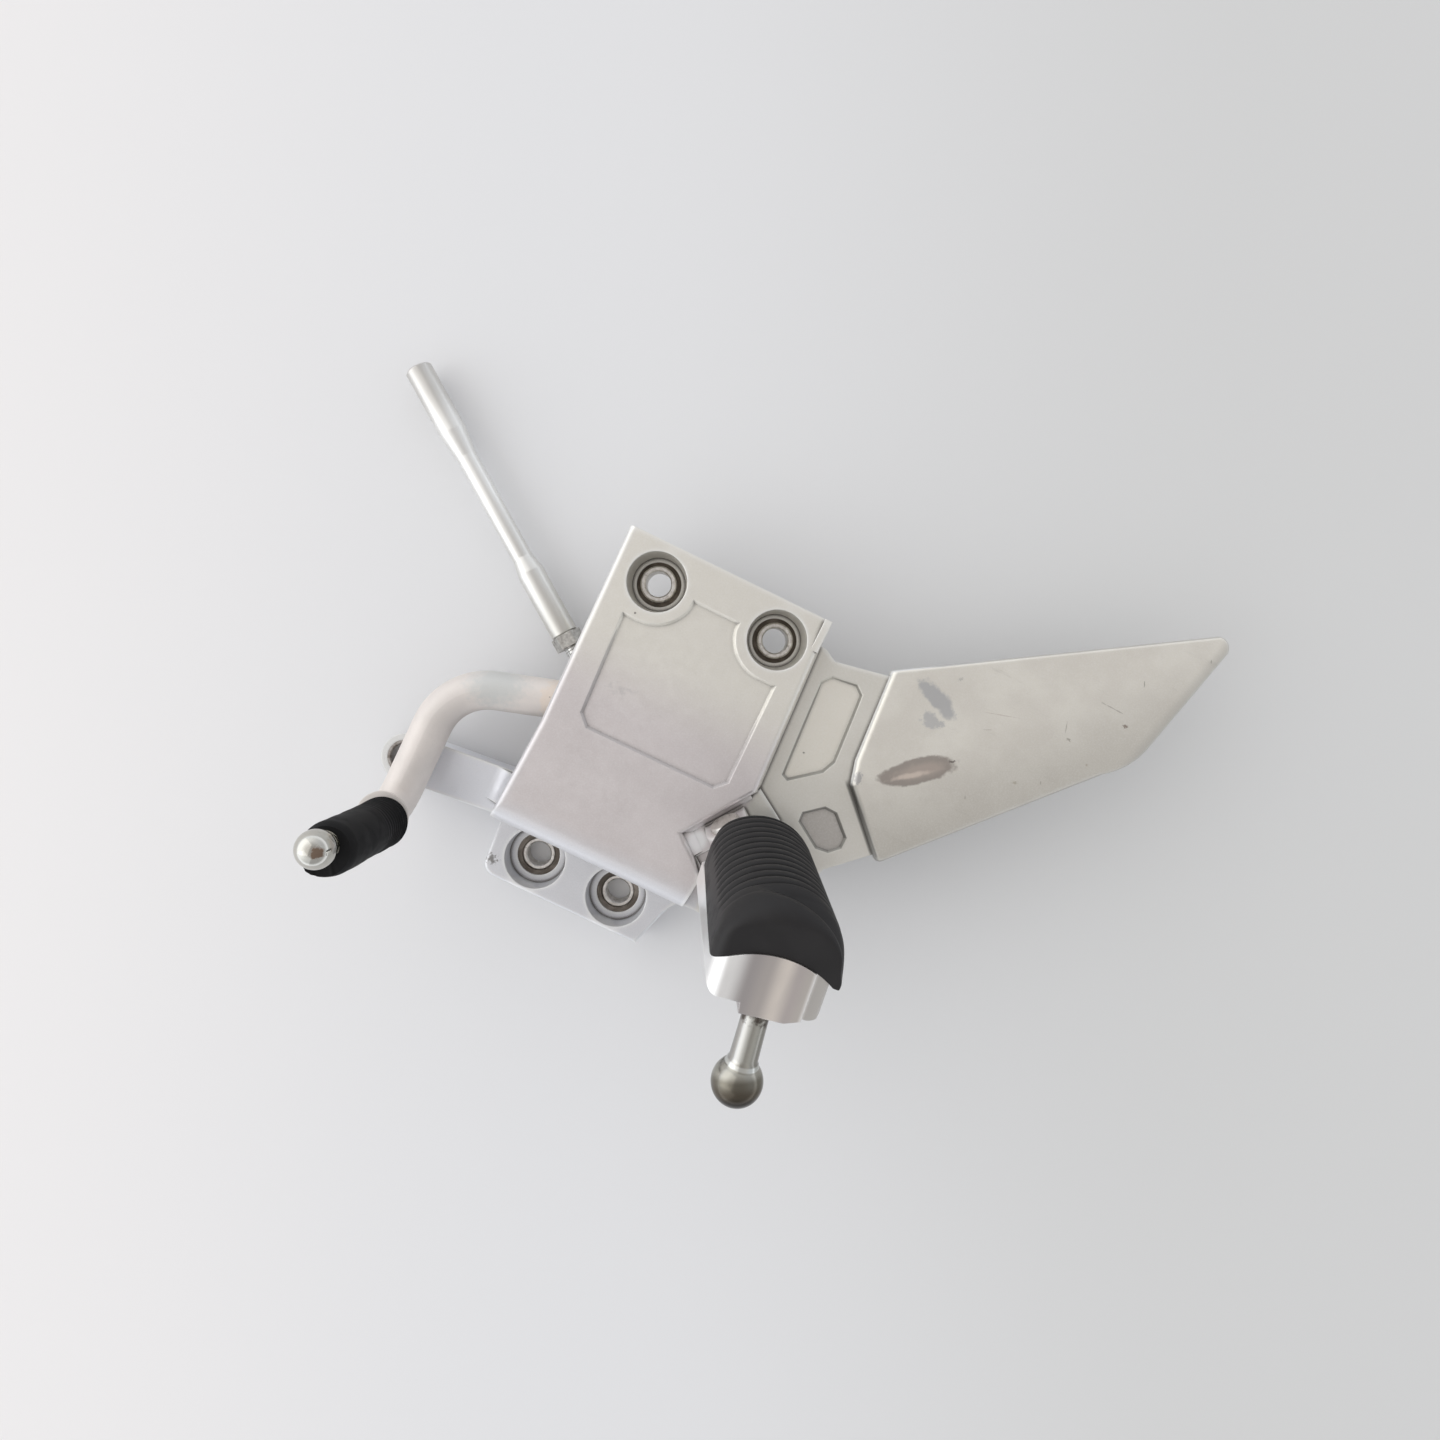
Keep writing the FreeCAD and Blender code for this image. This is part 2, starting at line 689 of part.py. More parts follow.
    # rear edge rolled down to the web, with a fin left standing at its top
    rear_top = (s.rear_edge_top, s.plate_top)
    rear_low = (s.rear_edge_low, s.rear_low_height)
    notch = (s.notch_x, s.notch_height)
    wall_low = s.plate_front - s.rear_roll_drop
    wall_lean = (wall_low - s.web_front) * tangent(s.rear_draft)
    brow = s.rear_roll
    outside = [(-brow, s.plate_front, s.rear_roll_round, -1), (-wall_lean, wall_low), (0, s.web_front),
               (brow, s.web_front), (brow, s.plate_front + brow), (-brow, s.plate_front + brow)]
    before_top = partway(rear_top, rear_low, -brow)
    past_low = partway(rear_low, rear_top, -brow * 1.4)
    along_edge(body, "rear_roll", before_top, past_low, outside, cut=True)
    fin_start = s.plate_top - s.fin_length
    fin = [(fin_start, s.web_front), (s.plate_top, s.web_front), (s.plate_top, s.plate_front + s.fin_height),
           (fin_start, s.plate_front)]
    pad(body, "rear_fin", draw(body, "rear_fin_profile", [fin], "YZ_Plane",
                               lift=s.rear_edge_top - s.fin_width - s.edge_break), s.fin_width)
    curl = (s.roll_width * s.roll_width + s.roll_drop * s.roll_drop) / (s.roll_drop * 2.0)
    roll = [(s.plate_lower - 4.0, s.plate_front - s.roll_drop),
            (s.plate_lower, s.plate_front - s.roll_drop, curl, -1),
            (s.plate_lower + s.roll_width, s.plate_front),
            (s.plate_lower + s.roll_width, s.plate_front + 4.0),
            (s.plate_lower - 4.0, s.plate_front + 4.0)]
    pocket(body, "plate_roll", draw(body, "plate_roll_outline", [roll], "YZ_Plane"),
           s.front_edge_low * 4.0, symmetric=True)

    # wall down to the pad, the pad and the lug
    wall = [(-s.pad_front, s.plate_lower), (s.foot_x, s.plate_lower),
            (s.foot_x, s.plate_lower + s.wall_thick), (-s.pad_front, s.plate_lower + s.wall_thick)]
    pad(body, "lower_wall", draw(body, "lower_wall_outline", [wall]), plate_back)
    base = [(-s.pad_front, s.plate_lower + s.wall_thick), (-s.pad_front, s.pad_rear_height),
            (-s.pad_front_low, -s.pad_reach + s.pad_corner, s.pad_corner, 1),
            (-s.pad_front_low + s.pad_corner, -s.pad_reach), (s.pad_rear_low, -s.pad_reach),
            (s.pad_rear, s.pad_rear_height), (s.foot_x, s.pad_rear_height + 3.4),
            (s.foot_x, s.plate_lower + s.wall_thick)]
    pad(body, "pad", draw(body, "pad_outline", [base]), s.pad_thick)
    soften(body, "pad_edges", s.pad_edge_round,
           lambda edge: on_level(edge, s.pad_thick.value) and edge.CenterOfMass.y < SIZES["pad_rear_height"]
           and edge.BoundBox.YMax < SIZES["pad_rear_height"] + 0.01)
    column = [(-s.front_edge_low, s.plate_lower), (s.lug_column - s.front_edge_low, s.plate_lower),
              (s.lug_column - s.front_edge_low, s.lug_root_top),
              (s.edge_break - s.front_edge_low, s.lug_root_top)]
    pad(body, "lug_column", draw(body, "lug_column_outline", [column], lift=s.lug_front - s.lug_thick),
        plate_back - s.lug_front + s.lug_thick)
    half_eye = s.lug_eye_outer / 2.0
    lug = [(s.lug_column - s.front_edge_low, s.lug_root_low),
           (s.lug_column - s.front_edge_low, s.lug_root_top),
           (-s.front_edge_low, s.lug_root_top), (-s.lug_eye_x, s.lug_eye_y + half_eye),
           (-s.lug_eye_x, s.lug_eye_y - half_eye), (-s.front_edge_low, s.lug_root_low)]
    pad(body, "lug", draw(body, "lug_outline", [lug], lift=s.lug_front - s.lug_thick), s.lug_thick)
    # hollow sweep from the lug's front up to the plate's edge
    sweep_end = -s.front_edge_low - s.lug_sweep
    sweep_root = s.wall_thick - s.front_edge_low
    sweep = [(sweep_end, s.lug_front, s.lug_sweep, 1), (-s.front_edge_low, s.lug_front + s.lug_sweep),
             (sweep_root, s.lug_front + s.lug_sweep), (sweep_root, s.lug_front - s.edge_break),
             (sweep_end, s.lug_front - s.edge_break)]
    sweep_top = s.lug_root_top - s.edge_break * 2.0
    pad(body, "lug_sweep", draw(body, "lug_sweep_profile", [sweep], "XZ_Plane", lift=-sweep_top),
        sweep_top - s.plate_lower)
    pad(body, "lug_eye", draw(body, "lug_eye_outline", [("circle", -s.lug_eye_x, s.lug_eye_y, half_eye)],
                              lift=s.lug_front - s.lug_thick), s.lug_thick + s.lug_eye_rise)

    # bosses, rims and ribs on the back
    for name, x in (("front", upper_front_x), ("rear", upper_rear_x)):
        pad(body, "boss_" + name,
            draw(body, "boss_%s_outline" % name, [("circle", x, s.upper_height, s.upper_boss / 2.0)],
                 lift=s.upper_seat), plate_back - s.upper_seat)
    pad(body, "pivot_boss",
        draw(body, "pivot_boss_outline", [("circle", s.pivot_x, s.pivot_y, s.pivot_boss / 2.0)],
             lift=s.pivot_seat), plate_back - s.pivot_seat)
    front_rim = [(-s.front_edge_low, s.plate_lower), (s.rim_width - s.front_edge_low, s.plate_lower),
                 (s.rim_width - s.front_edge_mid, s.front_mid_height),
                 (s.rim_width - s.front_edge_top, s.plate_top), (-s.front_edge_top, s.plate_top),
                 (-s.front_edge_mid, s.front_mid_height)]
    pad(body, "front_rim", draw(body, "front_rim_outline", [front_rim], lift=rim_floor), s.rim_depth)
    top_rim = [(-s.front_edge_top, s.plate_top - s.rim_width), (s.rear_edge_top, s.plate_top - s.rim_width),
               (s.rear_edge_top, s.plate_top), (-s.front_edge_top, s.plate_top)]
    pad(body, "top_rim", draw(body, "top_rim_outline", [top_rim], lift=rim_floor), s.rim_depth)
    half_rib = s.rib_width / 2.0
    rib = [(s.pivot_x - half_rib, s.plate_lower + 2.0), (s.pivot_x + half_rib, s.plate_lower + 2.0),
           (s.pivot_x + half_rib, s.plate_top - 2.0), (s.pivot_x - half_rib, s.plate_top - 2.0)]
    pad(body, "rib_up", draw(body, "rib_up_outline", [rib], lift=rim_floor), s.rim_depth)
    rib_low = s.notch_height - half_rib
    rib_high = s.notch_height + half_rib
    across = [(2.0 - s.front_edge_mid, rib_low), (s.notch_x - 2.0, rib_low), (s.notch_x - 2.0, rib_high),
              (2.0 - s.front_edge_mid, rib_high)]
    pad(body, "rib_across", draw(body, "rib_across_outline", [across], lift=rim_floor), s.rim_depth)

    # shoulder low in the notch, under the clevis
    notch_foot = (s.notch_foot_x, s.notch_foot_height)
    shoulder = [rear_low, notch, notch_foot, (s.corner_x, s.corner_height), (s.peg_x - 4.0, s.peg_y - 9.0),
                (s.peg_x + s.shoulder_reach_x, s.peg_y + s.shoulder_reach_y)]
    pad(body, "clevis_shoulder", draw(body, "clevis_shoulder_outline", [shoulder], lift=web_back),
        s.shoulder_level - web_back)
    wall_top = s.plate_front - s.notch_round
    bed = s.shoulder_level - s.edge_break
    for name, start, end, foot in (
            ("notch_bank", partway(rear_low, notch, s.bank_gap), notch, s.bank_foot),
            ("notch_bank_low", notch, notch_foot, s.bank_foot_low)):
        bank = [(-s.edge_break, bed), (foot, bed), (foot, s.shoulder_level), (0, wall_top),
                (-s.edge_break, wall_top)]
        along_edge(body, name, start, end, bank)

    # clevis for the footpeg, its two cheeks rounded about the pin
    cheek = [(s.cheek_round, 0, s.cheek_round, 1), (0, s.cheek_round, s.cheek_round, 1), (-s.cheek_round, 0),
             (-s.cheek_round, -s.cheek_foot), (s.cheek_round, -s.cheek_foot)]
    pad(body, "clevis", draw(body, "clevis_outline", [cheek], frame=clevis_frame), cheek_half * 2.0,
        symmetric=True)
    slot_low = -s.tongue_round - s.heel_gap
    wide = s.cheek_round * 2.0
    slot = [(-wide, slot_low), (wide, slot_low), (wide, wide), (-wide, wide)]
    pocket(body, "clevis_slot", draw(body, "clevis_slot_outline", [slot], frame=clevis_frame),
           slot_half * 2.0, symmetric=True)
    pocket(body, "pin_hole",
           draw(body, "pin_hole_outline", [("circle", 0, 0, s.pin_dia / 2.0)], frame=clevis_frame),
           cheek_half * 2.4, symmetric=True)

    head_seat = clevis_frame * Placement(V(0, 0, -number(cheek_half)), Rotation())
    pocket(body, "head_seat",
           draw(body, "head_seat_ring", [("circle", 0, 0, s.pin_head / 2.0 + s.head_room)], frame=head_seat),
           s.pin_head_thick + 0.4)
    clip_seat = clevis_frame * Placement(V(0, 0, number(cheek_half)), Rotation())
    clip_room = s.pin_clip_dia / 2.0 + s.head_room
    pocket(body, "clip_seat",
           draw(body, "clip_seat_ring", [("circle", 0, 0, clip_room)], frame=clip_seat),
           s.pin_over * 2.0, reverse=True)

    # sunk panel, cut away round the two upper bolts
    ease = s.sink_ease
    ear = leg(s.sink_round, ease)
    shoulder = s.upper_height - s.sink_round
    sink = [(-s.sink_front, shoulder), (-s.sink_front_low, s.sink_low + s.sink_corner),
            (s.sink_corner - s.sink_front_low, s.sink_low), (s.sink_rear - s.sink_corner, s.sink_low),
            (s.sink_rear, s.sink_low + s.sink_corner), (s.sink_rear, shoulder),
            (upper_rear_x, shoulder, s.sink_round, -1),
            (upper_rear_x - ear, s.upper_height - ease), (upper_rear_x - ear, s.upper_height),
            (upper_front_x + ear, s.upper_height),
            (upper_front_x + ear, s.upper_height - ease, s.sink_round, -1),
            (upper_front_x, shoulder)]
    pocket(body, "sunk_panel", draw(body, "sunk_panel_outline", [sink], lift=s.plate_front), s.sink_depth,
           taper=-s.sink_lean)

    # bolt holes, the lug's hole and the pivot's hole
    lower_places = ((-lower_half, 0), (lower_half, 0))
    upper_places = ((upper_front_x, s.upper_height), (upper_rear_x, s.upper_height))
    for name, places, level, rim, depth, bush in (
            ("lower", lower_places, s.pad_thick, s.lower_rim, s.lower_recess, s.lower_bush_outer),
            ("upper", upper_places, s.plate_front, s.upper_rim, s.upper_recess, s.upper_bush_outer)):
        rims = [("circle", x, y, rim / 2.0) for x, y in places]
        pocket(body, name + "_recess", draw(body, name + "_recess_rims", rims, lift=level), depth,
               taper=-s.recess_draft)
        holes = [("circle", x, y, bush / 2.0) for x, y in places]
        pocket(body, name + "_bush_holes", draw(body, name + "_bush_rings", holes, lift=level), level * 1.2)
    pocket(body, "lug_hole",
           draw(body, "lug_hole_ring", [("circle", -s.lug_eye_x, s.lug_eye_y, s.lug_eye_hole / 2.0)],
                lift=s.lug_front + s.lug_eye_rise), s.lug_thick * 1.5)
    pocket(body, "pivot_hole",
           draw(body, "pivot_hole_ring", [("circle", s.pivot_x, s.pivot_y, s.pivot_dia / 2.0)],
                lift=s.pivot_seat), s.pivot_sink, reverse=True)
    return body


def bolt_bushes():
    collar = s.collar_outer / 2.0
    bore = s.bolt_hole / 2.0
    edge = s.edge_break
    spots = (("lower_front", -lower_half, 0.0, 0.0, s.lower_bush_outer, s.pad_thick - s.lower_recess,
              s.lower_collar_length),
             ("lower_rear", lower_half, 0.0, 0.0, s.lower_bush_outer, s.pad_thick - s.lower_recess,
              s.lower_collar_length),
             ("upper_front", upper_front_x, s.upper_height, s.upper_seat, s.upper_bush_outer,
              s.plate_front - s.upper_recess - s.upper_seat, s.upper_collar_length),
             ("upper_rear", upper_rear_x, s.upper_height, s.upper_seat, s.upper_bush_outer,
              s.plate_front - s.upper_recess - s.upper_seat, s.upper_collar_length))
    for name, x, y, level, outer, depth, length in spots:
        top = depth - s.bush_step
        turned(name + "_bush", [(collar, s.bush_step), (outer / 2.0, s.bush_step), (outer / 2.0, top),
                                (collar, top)], (x, y, level))
        turned(name + "_collar", [(bore + edge, 0), (collar, 0), (collar, length - edge),
                                  (collar - edge, length), (bore + edge, length), (bore, length - edge),
                                  (bore, edge)], (x, y, level))
    rise = s.lug_thick + s.lug_eye_rise
    turned("stay_collar", [(s.stay_bore / 2.0, 0), (s.lug_eye_hole / 2.0, 0), (s.lug_eye_hole / 2.0, rise),
                           (s.stay_bore / 2.0 + edge, rise), (s.stay_bore / 2.0, rise - edge)],
           (-s.lug_eye_x, s.lug_eye_y, s.lug_front - s.lug_thick))


def gear_pedal():
    shaft = s.pivot_dia / 2.0
    bush = shaft + s.running_gap
    bush_outer = bush + s.bush_wall

    body = new_body("pedal_arm")
    hub = draw(body, "hub_ring", [("circle", s.pivot_x, s.pivot_y, s.hub_dia / 2.0)], lift=hub_low)
    pad(body, "hub", hub, s.hub_length)
    # bent round bar from the hub forwards and then down to the peg
    corner_y = s.pivot_y - (s.pivot_x + s.pedal_x) * tangent(s.arm_slope)
    bend = s.arm_bend * math.tan(math.radians((90.0 - SIZES["arm_slope"]) / 2.0))
    first = (bend * cosine(s.arm_slope) - s.pedal_x, corner_y + bend * sine(s.arm_slope))
    second = (-s.pedal_x, corner_y - bend)
    path = body.newObject("Sketcher::SketchObject", "arm_path")
    path.AttachmentSupport = (origin_plane(body, "XY_Plane"), [""])
    path.MapMode = "FlatFace"
    path.AttachmentOffset = Placement(V(0, 0, SIZES["arm_level"]), Rotation())
    path.setExpression(".AttachmentOffset.Base.z", s.arm_level.text)
    hub_at = V(SIZES["pivot_x"], SIZES["pivot_y"], 0)
    first_at = V(number(first[0]), number(first[1]), 0)
    second_at = V(number(second[0]), number(second[1]), 0)
    bar_end = s.pedal_bend - s.pedal_y
    peg_at = V(-SIZES["pedal_x"], bar_end.value, 0)
    path.addGeometry(Part.LineSegment(hub_at, first_at), False)
    path.addGeometry(arc_between(first_at, second_at, SIZES["arm_bend"], 1), False)
    path.addGeometry(Part.LineSegment(second_at, peg_at), False)
    path.addConstraint([Sketcher.Constraint("Coincident", 0, 2, 1, 1),
                        Sketcher.Constraint("Coincident", 1, 2, 2, 1)])
    for line, end, x, y in ((0, 1, s.pivot_x, s.pivot_y), (1, 1, first[0], first[1]),
                            (1, 2, second[0], second[1]), (2, 2, -s.pedal_x, bar_end)):
        for kind, value in (("DistanceX", x), ("DistanceY", y)):
            index = path.addConstraint(Sketcher.Constraint(kind, line, end, value.value))
            path.setExpression("Constraints[%d]" % index, value.text)
    index = path.addConstraint(Sketcher.Constraint("Radius", 1, SIZES["arm_bend"]))
    path.setExpression("Constraints[%d]" % index, s.arm_bend.text)
    path.Visibility = False
    section_turn = Rotation(V(0, 0, 1), SIZES["arm_slope"]) * Rotation(V(0, 1, 0), -90)
    section_at = Placement(V(SIZES["pivot_x"], SIZES["pivot_y"], SIZES["arm_level"]), section_turn)
    section = draw(body, "arm_section", [("circle", 0, 0, s.arm_dia / 2.0)], frame=section_at)
    pipe = body.newObject("PartDesign::AdditivePipe", "arm_bar")
    pipe.Profile = section
    pipe.Spine = (path, ["Edge1", "Edge2", "Edge3"])
    # the bar turns outwards and ends in a collar under the rubber
    elbow_turn = Rotation(V(1, 0, 0), V(0, 0, 1), V(0, -1, 0), "ZXY")
    collar_top = s.arm_level + s.pedal_bend
    elbow_at = Placement(V(-SIZES["pedal_x"], bar_end.value, collar_top.value), elbow_turn)
    elbow = draw(body, "elbow_section", [("circle", 0, -s.pedal_bend, s.arm_dia / 2.0)], frame=elbow_at)
    revolve(body, "elbow", elbow, axis="H_Axis", angle=90.0).Reversed = True
    collar = [(0, collar_top - s.pedal_collar_rise), (s.arm_dia / 2.0, collar_top - s.pedal_collar_rise),
              (s.pedal_collar / 2.0, collar_top - 1.0), (s.pedal_collar / 2.0, collar_top), (0, collar_top)]
    collar_at = Placement(V(-SIZES["pedal_x"], -SIZES["pedal_y"], 0), Rotation(V(1, 0, 0), 90))
    revolve(body, "pedal_collar", draw(body, "pedal_collar_profile", [collar], frame=collar_at))
    # flats at the link end
    flat = [(-s.arm_flat_reach, 0), (s.pivot_x, 0), (s.pivot_x, s.pivot_y * 2.0),
            (-s.arm_flat_reach, s.pivot_y * 2.0)]
    pocket(body, "flat_under", draw(body, "flat_under_outline", [flat], lift=hub_low), s.arm_dia)
    top = [(-s.arm_flat_reach, 0), (s.pivot_x - s.hub_dia / 2.0 - 1.0, 0),
           (s.pivot_x - s.hub_dia / 2.0 - 1.0, s.pivot_y * 2.0), (-s.arm_flat_reach, s.pivot_y * 2.0)]
    pocket(body, "flat_top", draw(body, "flat_top_outline", [top], lift=s.arm_flat_top), s.arm_dia,
           reverse=True)
    pocket(body, "hub_bore", draw(body, "hub_bore_ring", [("circle", s.pivot_x, s.pivot_y, bush_outer)],
                                  lift=hub_top), s.hub_length * 2.0)
    pocket(body, "joint_bore",
           draw(body, "joint_bore_ring", [("circle", -s.joint_x, s.joint_y, s.ball_bore / 2.0)],
                lift=s.arm_flat_top), s.arm_dia)
    pocket(body, "peg_bore",
           draw(body, "peg_bore_ring", [("circle", -s.pedal_x, -s.pedal_y, s.peg_core / 2.0)],
                lift=collar_top), s.peg_core_sink)

    pivot = (s.pivot_x, s.pivot_y, hub_low)
    turned("pedal_bush", [(bush, 0), (bush_outer, 0), (bush_outer, s.hub_length), (bush, s.hub_length)],
           pivot)
    gap = s.hub_gap / 2.0
    clip_at = gap + s.washer_thick
    tail = clip_at + s.clip_thick
    groove = shaft - s.clip_groove
    sink = s.hub_length + s.hub_gap + s.pivot_sink
    turned("pivot_shaft", [(0, -tail - 1.6), (shaft - 0.6, -tail - 1.6), (shaft, -tail - 1.0), (shaft, -tail),
                           (groove, -tail), (groove, -clip_at), (shaft, -clip_at), (shaft, sink), (0, sink)],
           pivot)
    turned("pivot_washer", [(bush, -clip_at), (s.washer_dia / 2.0, -clip_at), (s.washer_dia / 2.0, -gap),
                            (bush, -gap)], pivot)
    circlip = new_body("pivot_circlip", pivot)
    ring = draw(circlip, "circlip_rings", [("circle", 0, 0, s.clip_dia / 2.0), ("circle", 0, 0, groove)],
                lift=-tail)
    pad(circlip, "circlip_ring", ring, s.clip_thick)
    mouth = [(0, -s.pivot_dia * 0.22), (s.clip_dia, -s.pivot_dia * 0.22), (s.clip_dia, s.pivot_dia * 0.22),
             (0, s.pivot_dia * 0.22)]
    pocket(circlip, "circlip_mouth", draw(circlip, "circlip_mouth_outline", [mouth], lift=-tail),
           s.clip_thick * 4.0, symmetric=True)

    # peg with its domed cap, and the ringed rubber over it
    core = s.peg_core / 2.0
    cap = s.cap_dia / 2.0
    length = s.pedal_rubber_length
    seat = (-s.pedal_x, -s.pedal_y, collar_top)
    neck = core - 1.2
    ball_at = length + s.cap_rise
    meet = leg(cap, neck)
    turned("pedal_peg", [(0, -s.peg_core_sink), (core, -s.peg_core_sink), (core, length), (neck, length),
                         (neck, ball_at - meet, cap, 1), (cap, ball_at, cap, 1), (0, ball_at + cap)], seat)
    wide = s.pedal_rubber_base / 2.0
    thin = s.pedal_rubber_tip / 2.0
    outline = [(0, 0), (wide - 0.8, 0), (wide, 0.8)]
    for i in range(7):
        z = 2.0 + s.pedal_ring_pitch * i
        outline.append((wide - 0.06 * i, z))
        outline.append((wide - 0.06 * i - s.pedal_ring_depth, z + s.pedal_ring_pitch / 2.0))
    outline.append((wide - 0.5, s.pedal_ring_pitch * 7.0 + 2.0))
    outline.append((thin, length - 6.0))
    outline.append((thin - 0.2, length - 1.4))
    outline.append((thin - 1.4, length - 0.1))
    outline.append((0, length - 0.1))
    shift_x = s.pedal_rubber_shift_x
    shift_y = s.pedal_rubber_shift_y
    sleeve = turned("pedal_rubber", outline, (shift_x - s.pedal_x, shift_y - s.pedal_y, collar_top))
    pocket(sleeve, "sleeve_bore", draw(sleeve, "sleeve_bore_ring", [("circle", -shift_x, -shift_y, core)]),
           length * 2.0, reverse=True)


def link_rod():
    ball = s.ball_dia / 2.0
    half = s.ball_width / 2.0
    bore = s.ball_bore / 2.0
    # the ball has a short collar on each side of the eye
    seat = ball + s.running_gap
    eye = s.eye_width / 2.0
    neck = s.ball_bore / 2.0 + 0.9
    neck_at = leg(ball, neck)
    play = s.running_gap
    turned("rod_ball", [(bore + play, play - half), (neck, play - half), (neck, -neck_at, ball, 1),
                        (neck, neck_at), (neck, half - play), (bore + play, half - play)], rod_base)

    body = new_body("rod_end", rod_base, rod_turn)
    stud = s.stud_dia / 2.0
    shank = s.shank_dia / 2.0
    seat_in = leg(seat, eye)
    start = s.eye_dia / 2.0 - 1.2
    stop = s.tube_start + s.thread_depth - 1.0
    shaft = [(0, start), (shank, start), (shank, s.shank_end), (stud, s.shank_end + 1.0), (stud, stop - 0.6),
             (stud - 0.6, stop), (0, stop)]
    rim = s.eye_dia / 2.0
    ring = [(seat_in, -eye, seat, 1), (seat_in, eye), (rim - 0.6, eye), (rim, eye - 0.6), (rim, 0.6 - eye),
            (rim - 0.6, -eye)]
    revolve(body, "rod_eye", draw(body, "rod_eye_profile", [ring], "XY_Plane"))
    revolve(body, "rod_stud", draw(body, "rod_stud_profile", [shaft], "XZ_Plane"))

    hole = stud + s.thread_gap
    nut = new_body("rod_locknut", rod_base, rod_turn)
    lift = s.tube_start - s.nut_thick
    pad(nut, "locknut_hex", draw(nut, "locknut_outline", [hexagon(s.nut_flats), ("circle", 0, 0, hole)],
                                 lift=lift), s.nut_thick)
    thick = s.tube_dia / 2.0
    waist = s.tube_waist / 2.0
    a = s.tube_start
    z = a + s.tube_length
    tap = s.open_thread / 2.0
    turned("rod_tube", [(hole, a), (thick - 0.5, a), (thick, a + 0.5), (thick, a + s.tube_end),
                        (waist, a + s.tube_end + s.tube_taper * 0.6),
                        (waist, z - s.tube_end - s.tube_taper), (thick, z - s.tube_end), (thick, z - 0.5),
                        (thick - 0.5, z), (tap + 0.5, z), (tap, z - 0.5), (tap, z - s.thread_depth - 4.0),
                        (0, z - s.thread_depth - 5.4), (0, a + s.thread_depth + 1.6),
                        (hole, a + s.thread_depth)], rod_base, rod_turn)

    # bolt through the ball, with a shoulder under the arm and a nut above it
    joint = rod_base
    top = s.arm_flat_top - s.joint_level
    under = hub_low - s.joint_level
    bolt = new_body("joint_bolt", joint)
    pad(bolt, "joint_head", draw(bolt, "joint_head_outline", [hexagon(s.nut_flats)],
                                 lift=-half - s.joint_head_thick), s.joint_head_thick)
    pad(bolt, "joint_shank", draw(bolt, "joint_shank_ring", [("circle", 0, 0, bore)], lift=-half),
        half + top + s.joint_nut_thick + 0.6)
    turned("joint_spacer", [(bore, half), (neck + 0.8, half), (neck + 0.8, under), (bore, under)], joint)
    nut = new_body("joint_nut", joint)
    pad(nut, "joint_nut_hex", draw(nut, "joint_nut_outline", [hexagon(s.nut_flats), ("circle", 0, 0, bore)],
                                   lift=top), s.joint_nut_thick)


